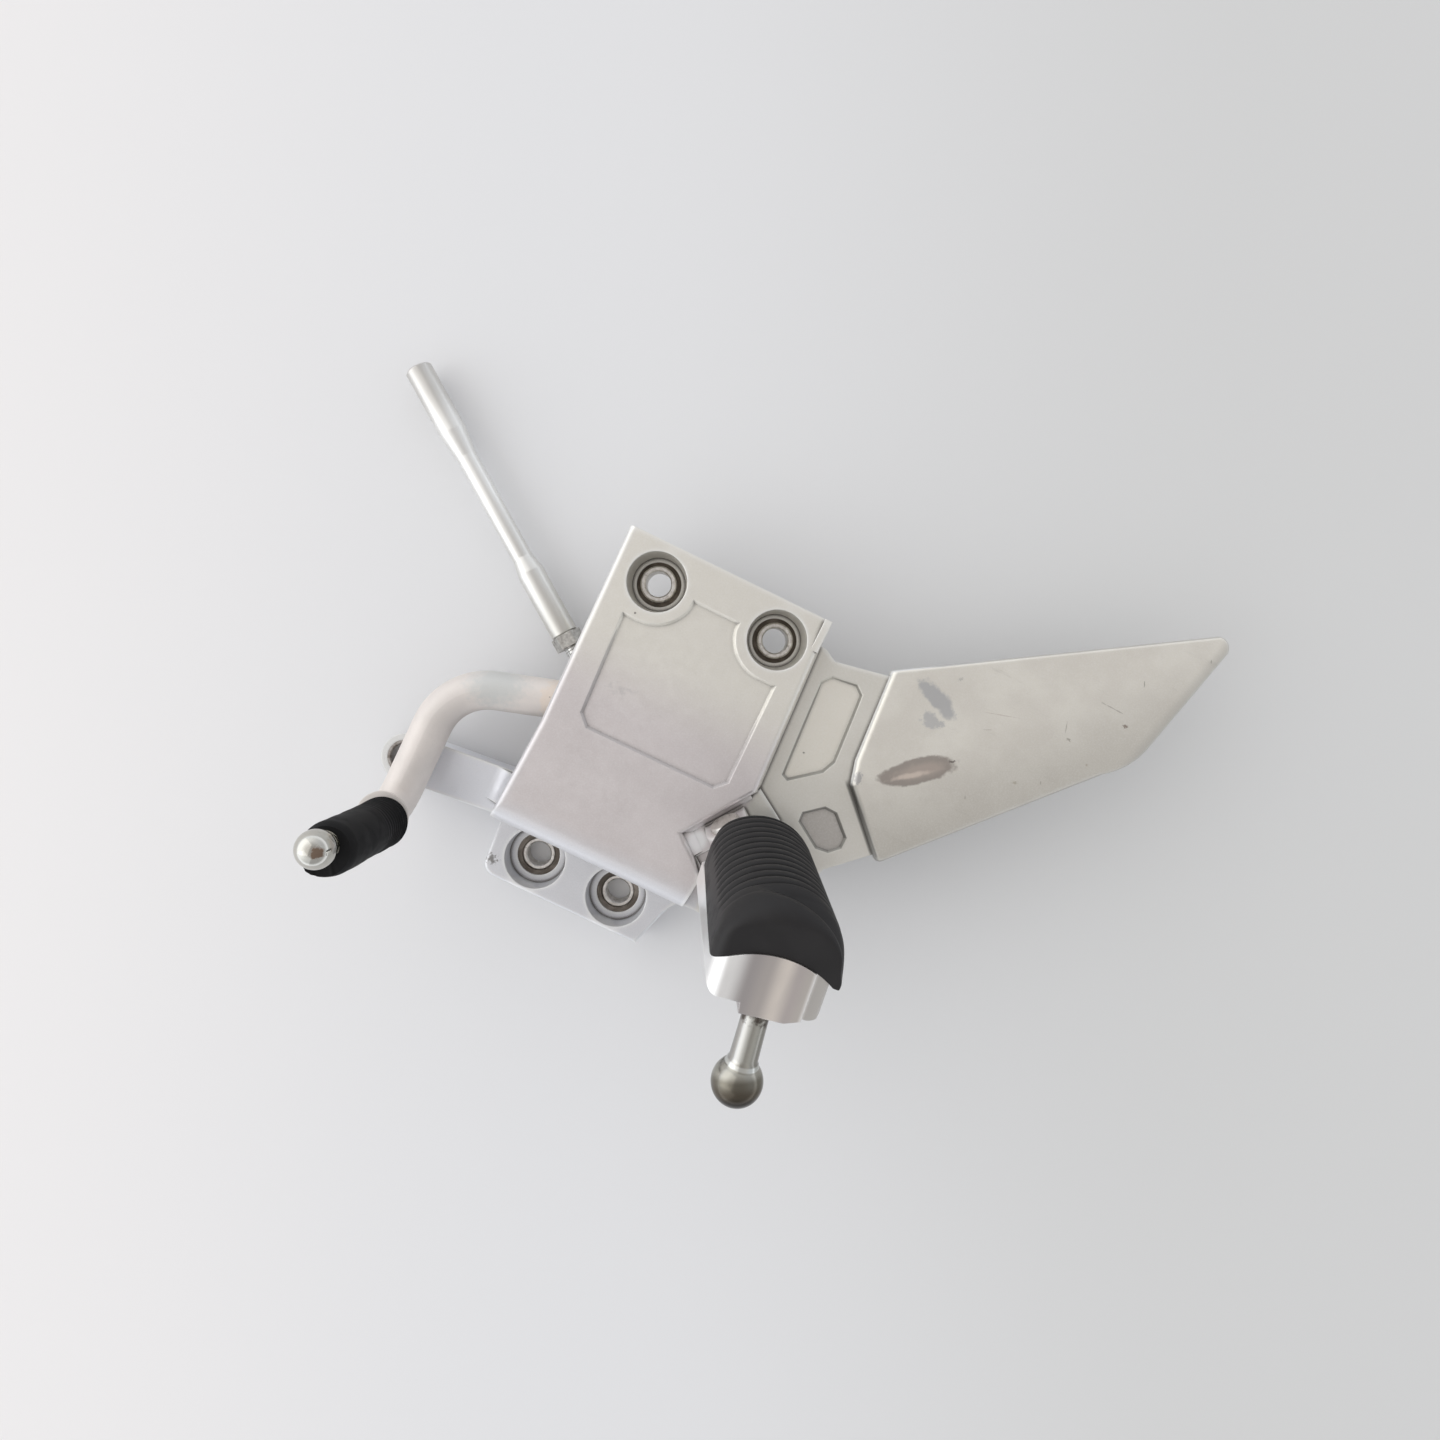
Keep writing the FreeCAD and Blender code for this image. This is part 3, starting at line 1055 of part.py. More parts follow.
def footpeg():
    body = new_body("peg_carrier", peg_base, peg_turn)
    left = s.carrier_left
    right = s.carrier_right
    under = s.carrier_under
    top = s.carrier_top
    belly = s.carrier_belly
    lobe = s.carrier_lobe
    left_low = s.carrier_lobe_rise - under
    right_low = s.carrier_lobe_rise / 2.0 - under
    # block with a crowned top, a belly below and a lobe on each side of it
    section = [(right, top, s.carrier_crown, 1), (-left, top), (-left, left_low + lobe, lobe, 1),
               (lobe - left, left_low), (-belly - s.edge_break, left_low), (-belly, -under), (belly, -under),
               (s.carrier_step_x, right_low), (right - lobe, right_low, lobe, 1), (right, right_low + lobe)]
    pad(body, "carrier_block", draw(body, "carrier_section", [section], lift=s.carrier_start),
        s.carrier_end - s.carrier_start)
    wall = s.carrier_wall
    near = s.carrier_start + wall
    far = s.carrier_end - s.carrier_end_wall
    room = [(wall - left, near), (right - wall, near), (right - wall, far), (wall - left, far)]
    ceiling = top - s.carrier_roof + 3.0
    hollow = Placement(V(0, -number(under), 0), Rotation(V(1, 0, 0), 90))
    pocket(body, "carrier_hollow", draw(body, "carrier_hollow_outline", [room], frame=hollow),
           under + ceiling)
    # outer end: its two upright corners rounded, and a step down to the right-hand lobe
    turn = s.carrier_end_round
    tip = s.carrier_end
    corners = [[(-left, tip - turn, turn, -1), (turn - left, tip), (turn - left, tip + turn),
                (-left - turn, tip + turn), (-left - turn, tip - turn)],
               [(right - turn, tip, turn, -1), (right, tip - turn), (right + turn, tip - turn),
                (right + turn, tip + turn), (right - turn, tip + turn)]]
    pocket(body, "carrier_corners", draw(body, "carrier_corner_outlines", corners, "XZ_Plane"), under * 4.0,
           symmetric=True)
    behind = [(s.carrier_step_x, -under * 2.0), (right * 2.0, -under * 2.0), (right * 2.0, under),
              (s.carrier_step_x, under)]
    pocket(body, "carrier_end_step", draw(body, "carrier_end_step_outline", [behind], lift=s.carrier_end),
           s.carrier_step)
    # tongue with a square heel, split for the return spring
    round_ = s.tongue_round
    tongue_end = s.carrier_start + s.rubber_gap / 2.0
    tongue = [(round_, tongue_end), (-round_, tongue_end), (-round_, -round_),
              (0, -round_, round_, 1), (round_, 0)]
    pad(body, "tongue", draw(body, "tongue_outline", [tongue], frame=clevis_local), s.tongue_width,
        symmetric=True)
    coil = s.spring_inner / 2.0 + s.spring_wire + 0.7
    gap = [(-round_ * 1.5, -round_ * 1.5), (round_ * 1.5, -round_ * 1.5), (round_ * 1.5, coil),
           (-round_ * 1.5, coil)]
    pocket(body, "spring_gap", draw(body, "spring_gap_outline", [gap], frame=clevis_local), s.spring_room,
           symmetric=True)
    pocket(body, "tongue_bore",
           draw(body, "tongue_bore_ring", [("circle", 0, 0, s.pin_dia / 2.0 + s.running_gap)],
                frame=clevis_local), s.tongue_width * 1.2, symmetric=True)
    # holes for the rubber's screws and for the bank feeler
    screw = s.screw_dia / 2.0
    holes = [("circle", 0, s.screw_near, screw), ("circle", 0, s.screw_far, screw)]
    pocket(body, "screw_holes", draw(body, "screw_rings", holes, frame=hollow), under * 2.0)
    feeler_ring = ("circle", s.feeler_x, s.feeler_at, s.feeler_stud / 2.0)
    pocket(body, "feeler_hole", draw(body, "feeler_ring", [feeler_ring], frame=hollow), under)

    # half-round rubber that sits astride the crowned carrier
    rubber = new_body("peg_rubber", peg_base, peg_turn)
    gap = s.rubber_gap
    begin = s.carrier_start + gap
    end = s.rubber_end
    axis = s.rubber_axis
    bulk = s.rubber_round
    rim = s.rubber_rim
    low = s.rubber_skirt
    saddle = s.carrier_crown + gap
    inside_left = left + gap
    inside_right = right + gap
    dome = [(begin, 0), (end, 0), (end, bulk - rim, rim, 1), (end - rim, bulk), (begin + 1.0, bulk),
            (begin, bulk - 1.0)]
    dome_at = Placement(V(0, SIZES["rubber_axis"], 0), Rotation(V(0, 1, 0), -90))
    revolve(rubber, "rubber_dome", draw(rubber, "rubber_dome_profile", [dome], frame=dome_at), axis="H_Axis",
            angle=180.0, symmetric=True)
    skirt = [(-bulk, low), (bulk, low), (bulk, axis + 0.01), (-bulk, axis + 0.01)]
    pad(rubber, "rubber_skirt", draw(rubber, "rubber_skirt_outline", [skirt], lift=begin), end - begin - rim)
    seat = [(-inside_left, low - 4.0), (inside_right, low - 4.0), (inside_right, top, saddle, 1),
            (-inside_left, top)]
    pocket(rubber, "rubber_saddle", draw(rubber, "rubber_saddle_outline", [seat], lift=begin - 1.0),
           end, reverse=True)
    wide = bulk * 2.0
    side = [(-wide, -bulk), (-s.rubber_left, -bulk), (-s.rubber_left, wide), (-wide, wide)]
    pocket(rubber, "rubber_left_face", draw(rubber, "rubber_left_outline", [side], lift=begin - 1.0), end,
           reverse=True)
    pitch = s.rubber_rib_pitch
    deep = s.rubber_rib_depth
    grooves = []
    for i in range(int(SIZES["rubber_ribs"])):
        z = begin + 2.4 + pitch * i
        grooves.append([(z, bulk + 1.0), (z + pitch * 0.12, bulk - deep), (z + pitch * 0.3, bulk - deep),
                        (z + pitch * 0.46, bulk + 1.0)])
    revolve(rubber, "rubber_grooves", draw(rubber, "rubber_groove_profile", grooves, frame=dome_at),
            axis="H_Axis", angle=SIZES["rubber_rib_spread"], cut=True, symmetric=True)
    grip = Placement(V(0, number(low), 0), Rotation(V(1, 0, 0), 90))
    pocket(rubber, "rubber_screw_holes", draw(rubber, "rubber_screw_rings", holes, frame=grip),
           s.screw_grip + top + s.carrier_roof, reverse=False)

    # screws that hold the rubber from below
    for name, at in (("near", s.screw_near), ("far", s.screw_far)):
        frame = peg_frame * Placement(V(0, number(ceiling), number(at)), Rotation(V(1, 0, 0), -90))
        head = s.screw_head / 2.0
        reach = s.carrier_roof + s.screw_grip
        turned("rubber_screw_" + name,
               [(0, -s.screw_head_thick), (head - 0.8, -s.screw_head_thick), (head, 0.8 - s.screw_head_thick),
                (head, 0), (screw, 0), (screw, reach - 0.6), (screw - 0.6, reach), (0, reach)],
               (frame.Base.x, frame.Base.y, frame.Base.z), frame.Rotation)

    # bank feeler with its ball end, screwed up into the carrier
    frame = peg_frame * Placement(V(SIZES["feeler_x"], -number(under), SIZES["feeler_at"]),
                                  Rotation(V(1, 0, 0), 90))
    neck = s.feeler_neck / 2.0
    ball = s.feeler_ball / 2.0
    drop = s.feeler_drop
    meet = leg(ball, neck)
    stud = s.feeler_stud / 2.0
    turned("bank_feeler",
           [(0, 1.0 - under), (stud, 1.0 - under), (stud, 0), (neck + 0.9, 0), (neck + 0.9, 2.0), (neck, 3.0),
            (neck, drop - meet - 0.6), (neck, drop - meet, ball, 1), (0, drop + ball)],
           (frame.Base.x, frame.Base.y, frame.Base.z), frame.Rotation)

    # pin, its clip and the return spring
    pin = s.pin_dia / 2.0
    end = cheek_half + s.pin_over
    turn = pin_turn
    clip = cheek_half + s.clip_play
    groove = pin - s.clip_groove
    clip_end = clip + s.pin_clip_thick
    head = s.pin_head / 2.0
    head_face = -cheek_half - s.pin_head_thick
    turned("clevis_pin",
           [(0, head_face), (head - s.edge_break, head_face), (head, head_face + s.edge_break),
            (head, -cheek_half), (pin, -cheek_half), (pin, clip), (groove, clip), (groove, clip_end),
            (pin, clip_end), (pin, end - s.edge_break), (pin - s.edge_break, end), (0, end)], peg_base, turn)
    ring = new_body("pin_clip", peg_base, turn)
    pad(ring, "pin_clip_ring",
        draw(ring, "pin_clip_rings", [("circle", 0, 0, s.pin_clip_dia / 2.0), ("circle", 0, 0, groove)],
             lift=clip), s.pin_clip_thick)
    mouth = [(0, -pin * 0.5), (s.pin_clip_dia, -pin * 0.5), (s.pin_clip_dia, pin * 0.5), (0, pin * 0.5)]
    pocket(ring, "pin_clip_mouth", draw(ring, "pin_clip_mouth_outline", [mouth], lift=clip),
           s.pin_clip_thick * 4.0, symmetric=True)
    spring = new_body("peg_spring", peg_base, turn)
    wire = s.spring_wire / 2.0
    coil = s.spring_inner / 2.0 + wire
    rise = s.spring_wire * 1.06
    start = -rise * s.spring_turns / 2.0
    section = draw(spring, "spring_section", [("circle", coil, start, wire)], "XZ_Plane")
    helix = spring.newObject("PartDesign::AdditiveHelix", "spring_coil")
    helix.Profile = section
    helix.ReferenceAxis = (section, ["V_Axis"])
    helix.Mode = "pitch-turns-angle"
    bind(helix, "Pitch", rise)
    bind(helix, "Turns", s.spring_turns)


hanger_casting()
bolt_bushes()
gear_pedal()
link_rod()
footpeg()
doc.recompute()

for item in doc.Objects:
    if "Invalid" in item.State or "Error" in item.State:
        raise RuntimeError("object %s is in state %s" % (item.Name, item.State))
for body in pieces:
    if body.Shape.isNull() or not body.Shape.isValid():
        raise RuntimeError("shape of %s is not sound" % body.Label)
    if len(body.Shape.Solids) != 1:
        raise RuntimeError("%s has %d solids" % (body.Label, len(body.Shape.Solids)))

os.makedirs("parts", exist_ok=True)
for body in pieces:
    body.Shape.exportStep("parts/%s.step" % body.Label)
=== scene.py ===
import bmesh
import bpy
import json
import math
from mathutils import Matrix, Vector, noise

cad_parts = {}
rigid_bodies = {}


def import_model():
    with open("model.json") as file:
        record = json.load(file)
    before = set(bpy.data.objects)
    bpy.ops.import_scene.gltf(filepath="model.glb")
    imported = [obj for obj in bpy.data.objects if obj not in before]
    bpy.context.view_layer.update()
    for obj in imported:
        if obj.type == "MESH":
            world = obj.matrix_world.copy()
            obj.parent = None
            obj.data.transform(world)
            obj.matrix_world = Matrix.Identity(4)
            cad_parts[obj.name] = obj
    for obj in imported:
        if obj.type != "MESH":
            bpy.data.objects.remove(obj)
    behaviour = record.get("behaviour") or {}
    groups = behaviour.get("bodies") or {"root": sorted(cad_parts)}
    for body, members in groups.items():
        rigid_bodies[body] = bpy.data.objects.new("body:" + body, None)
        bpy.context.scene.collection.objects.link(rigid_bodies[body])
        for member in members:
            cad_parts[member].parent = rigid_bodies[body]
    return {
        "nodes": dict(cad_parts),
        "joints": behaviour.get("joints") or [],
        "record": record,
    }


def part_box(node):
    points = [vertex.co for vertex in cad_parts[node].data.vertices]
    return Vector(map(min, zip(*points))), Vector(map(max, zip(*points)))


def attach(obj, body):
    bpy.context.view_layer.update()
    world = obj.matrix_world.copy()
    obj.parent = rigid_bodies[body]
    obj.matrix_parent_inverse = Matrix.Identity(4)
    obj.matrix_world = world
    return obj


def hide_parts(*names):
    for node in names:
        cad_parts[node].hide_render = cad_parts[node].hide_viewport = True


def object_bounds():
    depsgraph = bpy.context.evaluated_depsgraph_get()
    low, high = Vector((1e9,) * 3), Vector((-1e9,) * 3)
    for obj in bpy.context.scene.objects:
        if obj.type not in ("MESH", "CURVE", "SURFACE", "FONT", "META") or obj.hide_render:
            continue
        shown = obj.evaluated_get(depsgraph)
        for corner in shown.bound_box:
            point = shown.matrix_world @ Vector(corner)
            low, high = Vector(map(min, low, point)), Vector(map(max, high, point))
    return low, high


MM = 0.001
FULL_TURN = 2.0 * math.pi
ORIGIN = Vector((0.0, 0.0, 0.0))
UP = Vector((0.0, 0.0, 1.0))

for leftover in list(bpy.data.objects):
    bpy.data.objects.remove(leftover)

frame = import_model()
nodes = frame["nodes"]
cad_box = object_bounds()
scene = bpy.context.scene

# The room's directions to the right and to the front, in the part's frame
RIGHT = Vector((0.9006, 0.4346, 0.0082)).normalized()
FRONT = Vector((0.4332, -0.8990, 0.0651)).normalized()

# Camera of the photograph: it looks down on the part, with the picture's edges along those two directions
CAMERA_AT = Vector((10.094, 95.487, 372.0)) * MM
CAMERA_LENS = 24.34
CAMERA_NEAR = 0.01

# Footpeg: the three turns that lean it about its pin, in degrees
PEG_ROLL = 8.8
PEG_DROOP = 9.5
PEG_SWEEP = 6.2

# Feeler in the footpeg's frame: centres of its foot and its ball, and the ball's radius, in millimetres
FEELER_FOOT = Vector((-0.5, -12.4, 70.5))
FEELER_BALL = Vector((0.7, -35.2, 70.5))
FEELER_RADIUS = 7.4

# Smooth shading stops at edges sharper than this, in degrees, on plain pieces and on welded ones
CREASE = 50.0
WELDED_CREASE = 55.0

# Welding joins points that are closer together than this
WELD_GAP = 0.004 * MM

# Ranges of a noise field: the middle that Shader.spread stretches, and the one that makes rims ragged
NOISE_MIDDLE = (0.3, 0.7)
NOISE_RAGGED = (0.25, 0.75)


def named(items, name):
    """The joint or mount with this name."""
    return [item for item in items if item["name"] == name][0]


peg_pin = Vector(named(frame["joints"], "footpeg_fold")["pos_m"])
peg_place = (Matrix.Translation(peg_pin)
             @ Matrix.Rotation(math.radians(PEG_ROLL), 4, "Z")
             @ Matrix.Rotation(math.radians(PEG_DROOP), 4, "X")
             @ Matrix.Rotation(math.radians(PEG_SWEEP), 4, "Y"))
rod_ball = Vector(named(frame["joints"], "rod_swing")["pos_m"])
rod_axis = Vector(named(frame["record"]["mounts"], "rod_thread")["axis"]).normalized()


class Shader:
    """A node material around one Principled shader, with short calls for the nodes used here."""

    def __init__(self, name):
        self.material = bpy.data.materials.new(name)
        self.material.use_nodes = True
        self.tree = self.material.node_tree
        self.surface = self.tree.nodes["Principled BSDF"]
        self.place = self.add("ShaderNodeTexCoord").outputs["Object"]

    def add(self, kind, inputs=None, **settings):
        """New node of this kind with its inputs and settings."""
        node = self.tree.nodes.new(kind)
        for key, value in settings.items():
            setattr(node, key, value)
        for key, value in (inputs or {}).items():
            self.feed(node.inputs[key], value)
        return node

    def feed(self, socket, value):
        """Links an output to a socket, or sets the socket's own value."""
        if isinstance(value, bpy.types.NodeSocket):
            self.tree.links.new(value, socket)
        elif socket.type == "RGBA" and len(value) == 3:
            socket.default_value = (*value, 1.0)
        else:
            socket.default_value = value

    def set(self, **inputs):
        """Feeds inputs of the Principled shader, named with underscores for spaces."""
        for key, value in inputs.items():
            self.feed(self.surface.inputs[key.replace("_", " ")], value)

    def grain(self, size, detail=3.0, roughness=0.55, stretch=(1.0, 1.0, 1.0), turn=0.0):
        """Noise whose features are about this many millimetres across, turned about Z in degrees."""
        spot = self.add("ShaderNodeMapping", {"Vector": self.place, "Scale": stretch,
                                              "Rotation": (0.0, 0.0, math.radians(turn))})
        field = self.add("ShaderNodeTexNoise", {"Vector": spot.outputs[0], "Scale": 1.0 / (size * MM),
                                                "Detail": detail, "Roughness": roughness})
        return field.outputs["Fac"]

    def span(self, value, low, high, to_low=0.0, to_high=1.0):
        """Maps low..high to to_low..to_high with soft ends. low may lie above high."""
        step = self.add("ShaderNodeMapRange", {"Value": value, "From Min": low, "From Max": high,
                                               "To Min": to_low, "To Max": to_high},
                        interpolation_type="SMOOTHSTEP")
        return step.outputs[0]

    def spread(self, field, to_low=0.0, to_high=1.0):
        """Noise stretched so that its middle range fills to_low..to_high."""
        return self.span(field, *NOISE_MIDDLE, to_low, to_high)

    def between(self, mask, outside, inside):
        """Value that changes from outside to inside a mask."""
        return self.span(mask, 0.0, 1.0, outside, inside)

    def step(self, axis, limits, to_low=0.0, to_high=1.0):
        """Soft step along an axis of the part, between two limits in millimetres."""
        parts = self.add("ShaderNodeSeparateXYZ", {0: self.place})
        return self.slope(parts.outputs[axis], limits, to_low, to_high)

    def lean(self, origin, direction):
        """Distance from a point along a direction, both in the part's frame, in metres."""
        local = self.add("ShaderNodeVectorMath", {0: self.place, 1: origin}, operation="SUBTRACT")
        dot = self.add("ShaderNodeVectorMath", {0: local.outputs[0], 1: direction}, operation="DOT_PRODUCT")
        return dot.outputs["Value"]

    def slope(self, distance, limits, to_low=0.0, to_high=1.0):
        """Soft step of a distance in metres, between two limits in millimetres."""
        return self.span(distance, limits[0] * MM, limits[1] * MM, to_low, to_high)

    def combine(self, kind, first, second):
        """Result of a math node with two values."""
        return self.add("ShaderNodeMath", {0: first, 1: second}, operation=kind).outputs[0]

    def times(self, first, *others):
        """Product of all values."""
        for other in others:
            first = self.combine("MULTIPLY", first, other)
        return first

    def mix(self, share, first, second):
        """Blend of two colours, with this share of the second."""
        node = self.add("ShaderNodeMix", data_type="RGBA")
        self.feed(node.inputs[0], share)
        self.feed(node.inputs[6], first)
        self.feed(node.inputs[7], second)
        return node.outputs[2]

    def tint(self, colour, mask, shade, strength):
        """Lays a shade over a colour where the mask is, at this strength."""
        return self.mix(self.times(mask, strength), colour, shade)

    def spot(self, centre, reach, turn=0.0, soft=0.4, ragged=0.0, size=2.0):
        """Mask of an ellipsoid: centre and reach in millimetres, turned about Z, with a soft, ragged rim."""
        local = self.add("ShaderNodeMapping",
                         {"Vector": self.place, "Location": Vector(centre) * MM,
                          "Rotation": (0.0, 0.0, math.radians(turn)), "Scale": Vector(reach) * MM},
                         vector_type="TEXTURE").outputs[0]
        far = self.add("ShaderNodeVectorMath", {0: local}, operation="LENGTH").outputs["Value"]
        if ragged:
            wave = self.grain(size, detail=4.0, roughness=0.65, turn=-turn)
            far = self.combine("ADD", far, self.span(wave, *NOISE_RAGGED, -ragged, ragged))
        return self.span(far, 1.0, 1.0 - soft)

    def ramp(self, distance, stops):
        """Colours along a distance in metres: pairs of place in millimetres and colour, in rising order."""
        first, last = stops[0][0], stops[-1][0]
        share = self.add("ShaderNodeMapRange", {"Value": distance, "From Min": first * MM,
                                                "From Max": last * MM})
        node = self.add("ShaderNodeValToRGB", {0: share.outputs[0]})
        band = node.color_ramp
        band.interpolation = "EASE"
        band.elements[0].color = (*stops[0][1], 1.0)
        band.elements[1].color = (*stops[-1][1], 1.0)
        for place, colour in stops[1:-1]:
            band.elements.new((place - first) / (last - first)).color = (*colour, 1.0)
        return node.outputs[0]

    def nearby(self, reach, inside=False):
        """How open the surface is within this many millimetres, or how solid it is behind."""
        return self.add("ShaderNodeAmbientOcclusion", {"Distance": reach * MM}, samples=8, inside=inside,
                        only_local=True).outputs["AO"]

    def relief(self, height, depth, strength, edge=0.0):
        """Bump of this depth, over edges that look rounded by this radius, both in millimetres."""
        bump = self.add("ShaderNodeBump", {"Height": height, "Distance": depth * MM, "Strength": strength})
        if edge:
            rounded = self.add("ShaderNodeBevel", {"Radius": edge * MM}, samples=6)
            self.feed(bump.inputs["Normal"], rounded.outputs[0])
        self.feed(self.surface.inputs["Normal"], bump.outputs[0])


# Tints of the casting, with the painted light and shade laid on it
PLATE_TINTS = ((0.63, 0.585, 0.58), (0.68, 0.635, 0.63))
PLATE_REAR_TINT = (0.76, 0.735, 0.67)
# Painted bluish reflected light on the lower pad and at the lug's foot
PAD_PAINTED_REFLECTION = (0.67, 0.675, 0.70)
# Painted pale bluish light on the lug
LUG_PAINTED_LIGHT = (0.80, 0.815, 0.86)
EYE_TINT = (0.42, 0.425, 0.43)
WEB_TINTS = ((0.70, 0.68, 0.62), (0.75, 0.73, 0.67))
INSET_UPPER_TINT = (0.82, 0.79, 0.71)
INSET_LOWER_TINT = (0.52, 0.495, 0.46)
GUARD_TINTS = ((0.725, 0.695, 0.63), (0.785, 0.76, 0.69))
# Painted shade of the guard's lower part
GUARD_LOW_SHADE = (0.42, 0.40, 0.355)
FLAKE_TINT = (0.95, 0.95, 0.96)
PIT_TINT = (0.36, 0.35, 0.35)
WORN_TINT = (0.45, 0.43, 0.38)
# Painted shadow in the groove beside the guard
GROOVE_SHADOW = (0.10, 0.098, 0.09)
# Painted shade on the walls of the sunk panel and the insets
PANEL_WALL_SHADE = (0.30, 0.29, 0.28)
INSET_WALL_SHADE = (0.16, 0.155, 0.14)
# Painted shade and painted highlight on the step's face
STEP_LOWER_SHADE = (0.085, 0.083, 0.075)
STEP_UPPER_HIGHLIGHT = (0.80, 0.81, 0.82)
# Painted shade in crevices, painted highlight on ridges, painted shade on the guard's walls and along its tip
CREVICE_SHADE = (0.13, 0.12, 0.11)
RIDGE_HIGHLIGHT = (0.90, 0.90, 0.88)
RIM_SHADE = (0.40, 0.39, 0.365)
TIP_SHADOW = (0.44, 0.43, 0.40)

# Where they change: begin and end of each soft step along X, Y or Z, in millimetres
PLATE_REAR_Y = (62.0, 92.0)
PAD_Y = (24.0, 13.0)
LUG_FOOT_X = (-30.0, -36.0)
LUG_X = (-33.0, -37.0)
EYE_X = (-65.0, -69.0)
WEB_X = (42.0, 45.0)
INSET_X = (44.5, 46.0)
INSET_MOUTH_Z = (34.5, 34.1)
INSET_FLOOR_Z = (32.6, 33.0)
INSET_LOWER_Y = (69.5, 67.0)
GUARD_Z = (35.2, 35.9)
GUARD_STEP_X = (62.0, 65.0)
GUARD_X = (92.0, 95.0)
WORN_X = (78.0, 100.0)
STEP_BEGIN_X = (61.0, 63.0)
STEP_END_X = (97.0, 93.0)
STEP_Z = (34.8, 35.2)
STEP_UPPER_Y = (75.5, 78.5)
RIDGE_X = (80.0, 74.0)
RIM_X = (76.0, 84.0)

# Where a surface counts as a wall or as the step's face: the Z of its normal at begin and end of a soft step
WALL_TILT = (0.9, 0.55)
STEP_TILT = (0.80, 0.45)

# Painted shade darkens the guard along this direction, between these distances from the origin in millimetres
GUARD_SHADE_DIRECTION = Vector((0.7318, -0.6786, 0.0636))
GUARD_SHADE_REACH = (0.25, 32.25)

# The guard's tip, and the band of painted shadow along its slanted edge, in millimetres from that edge
GUARD_TIP = Vector((170.3, 173.8, 38.0)) * MM
TIP_OUTWARD = Vector((0.971, -0.239, 0.0))
TIP_BAND = (-5.0, -0.8)

# Groove between guard and web, where painted shadow lies: its sides and its ends, in millimetres across and
# along it
GROOVE_ACROSS = Vector((1.0, 1.0, 0.0)).normalized()
GROOVE_ALONG = Vector((1.0, -1.0, 0.0)).normalized()
GROOVE_SIDES = ((103.6, 104.6), (106.4, 105.8))
GROOVE_ENDS = ((-5.0, -2.0), (27.0, 24.0))

# Sunk panel of the plate and insets of the web: centre and reach of the space that holds their walls, which
# get painted shade
PANEL_WALLS = ((2.0, 64.0, 41.4), (38.0, 36.0, 1.0))
INSET_WALLS = ((63.0, 73.0, 34.3), (25.0, 40.0, 0.95))

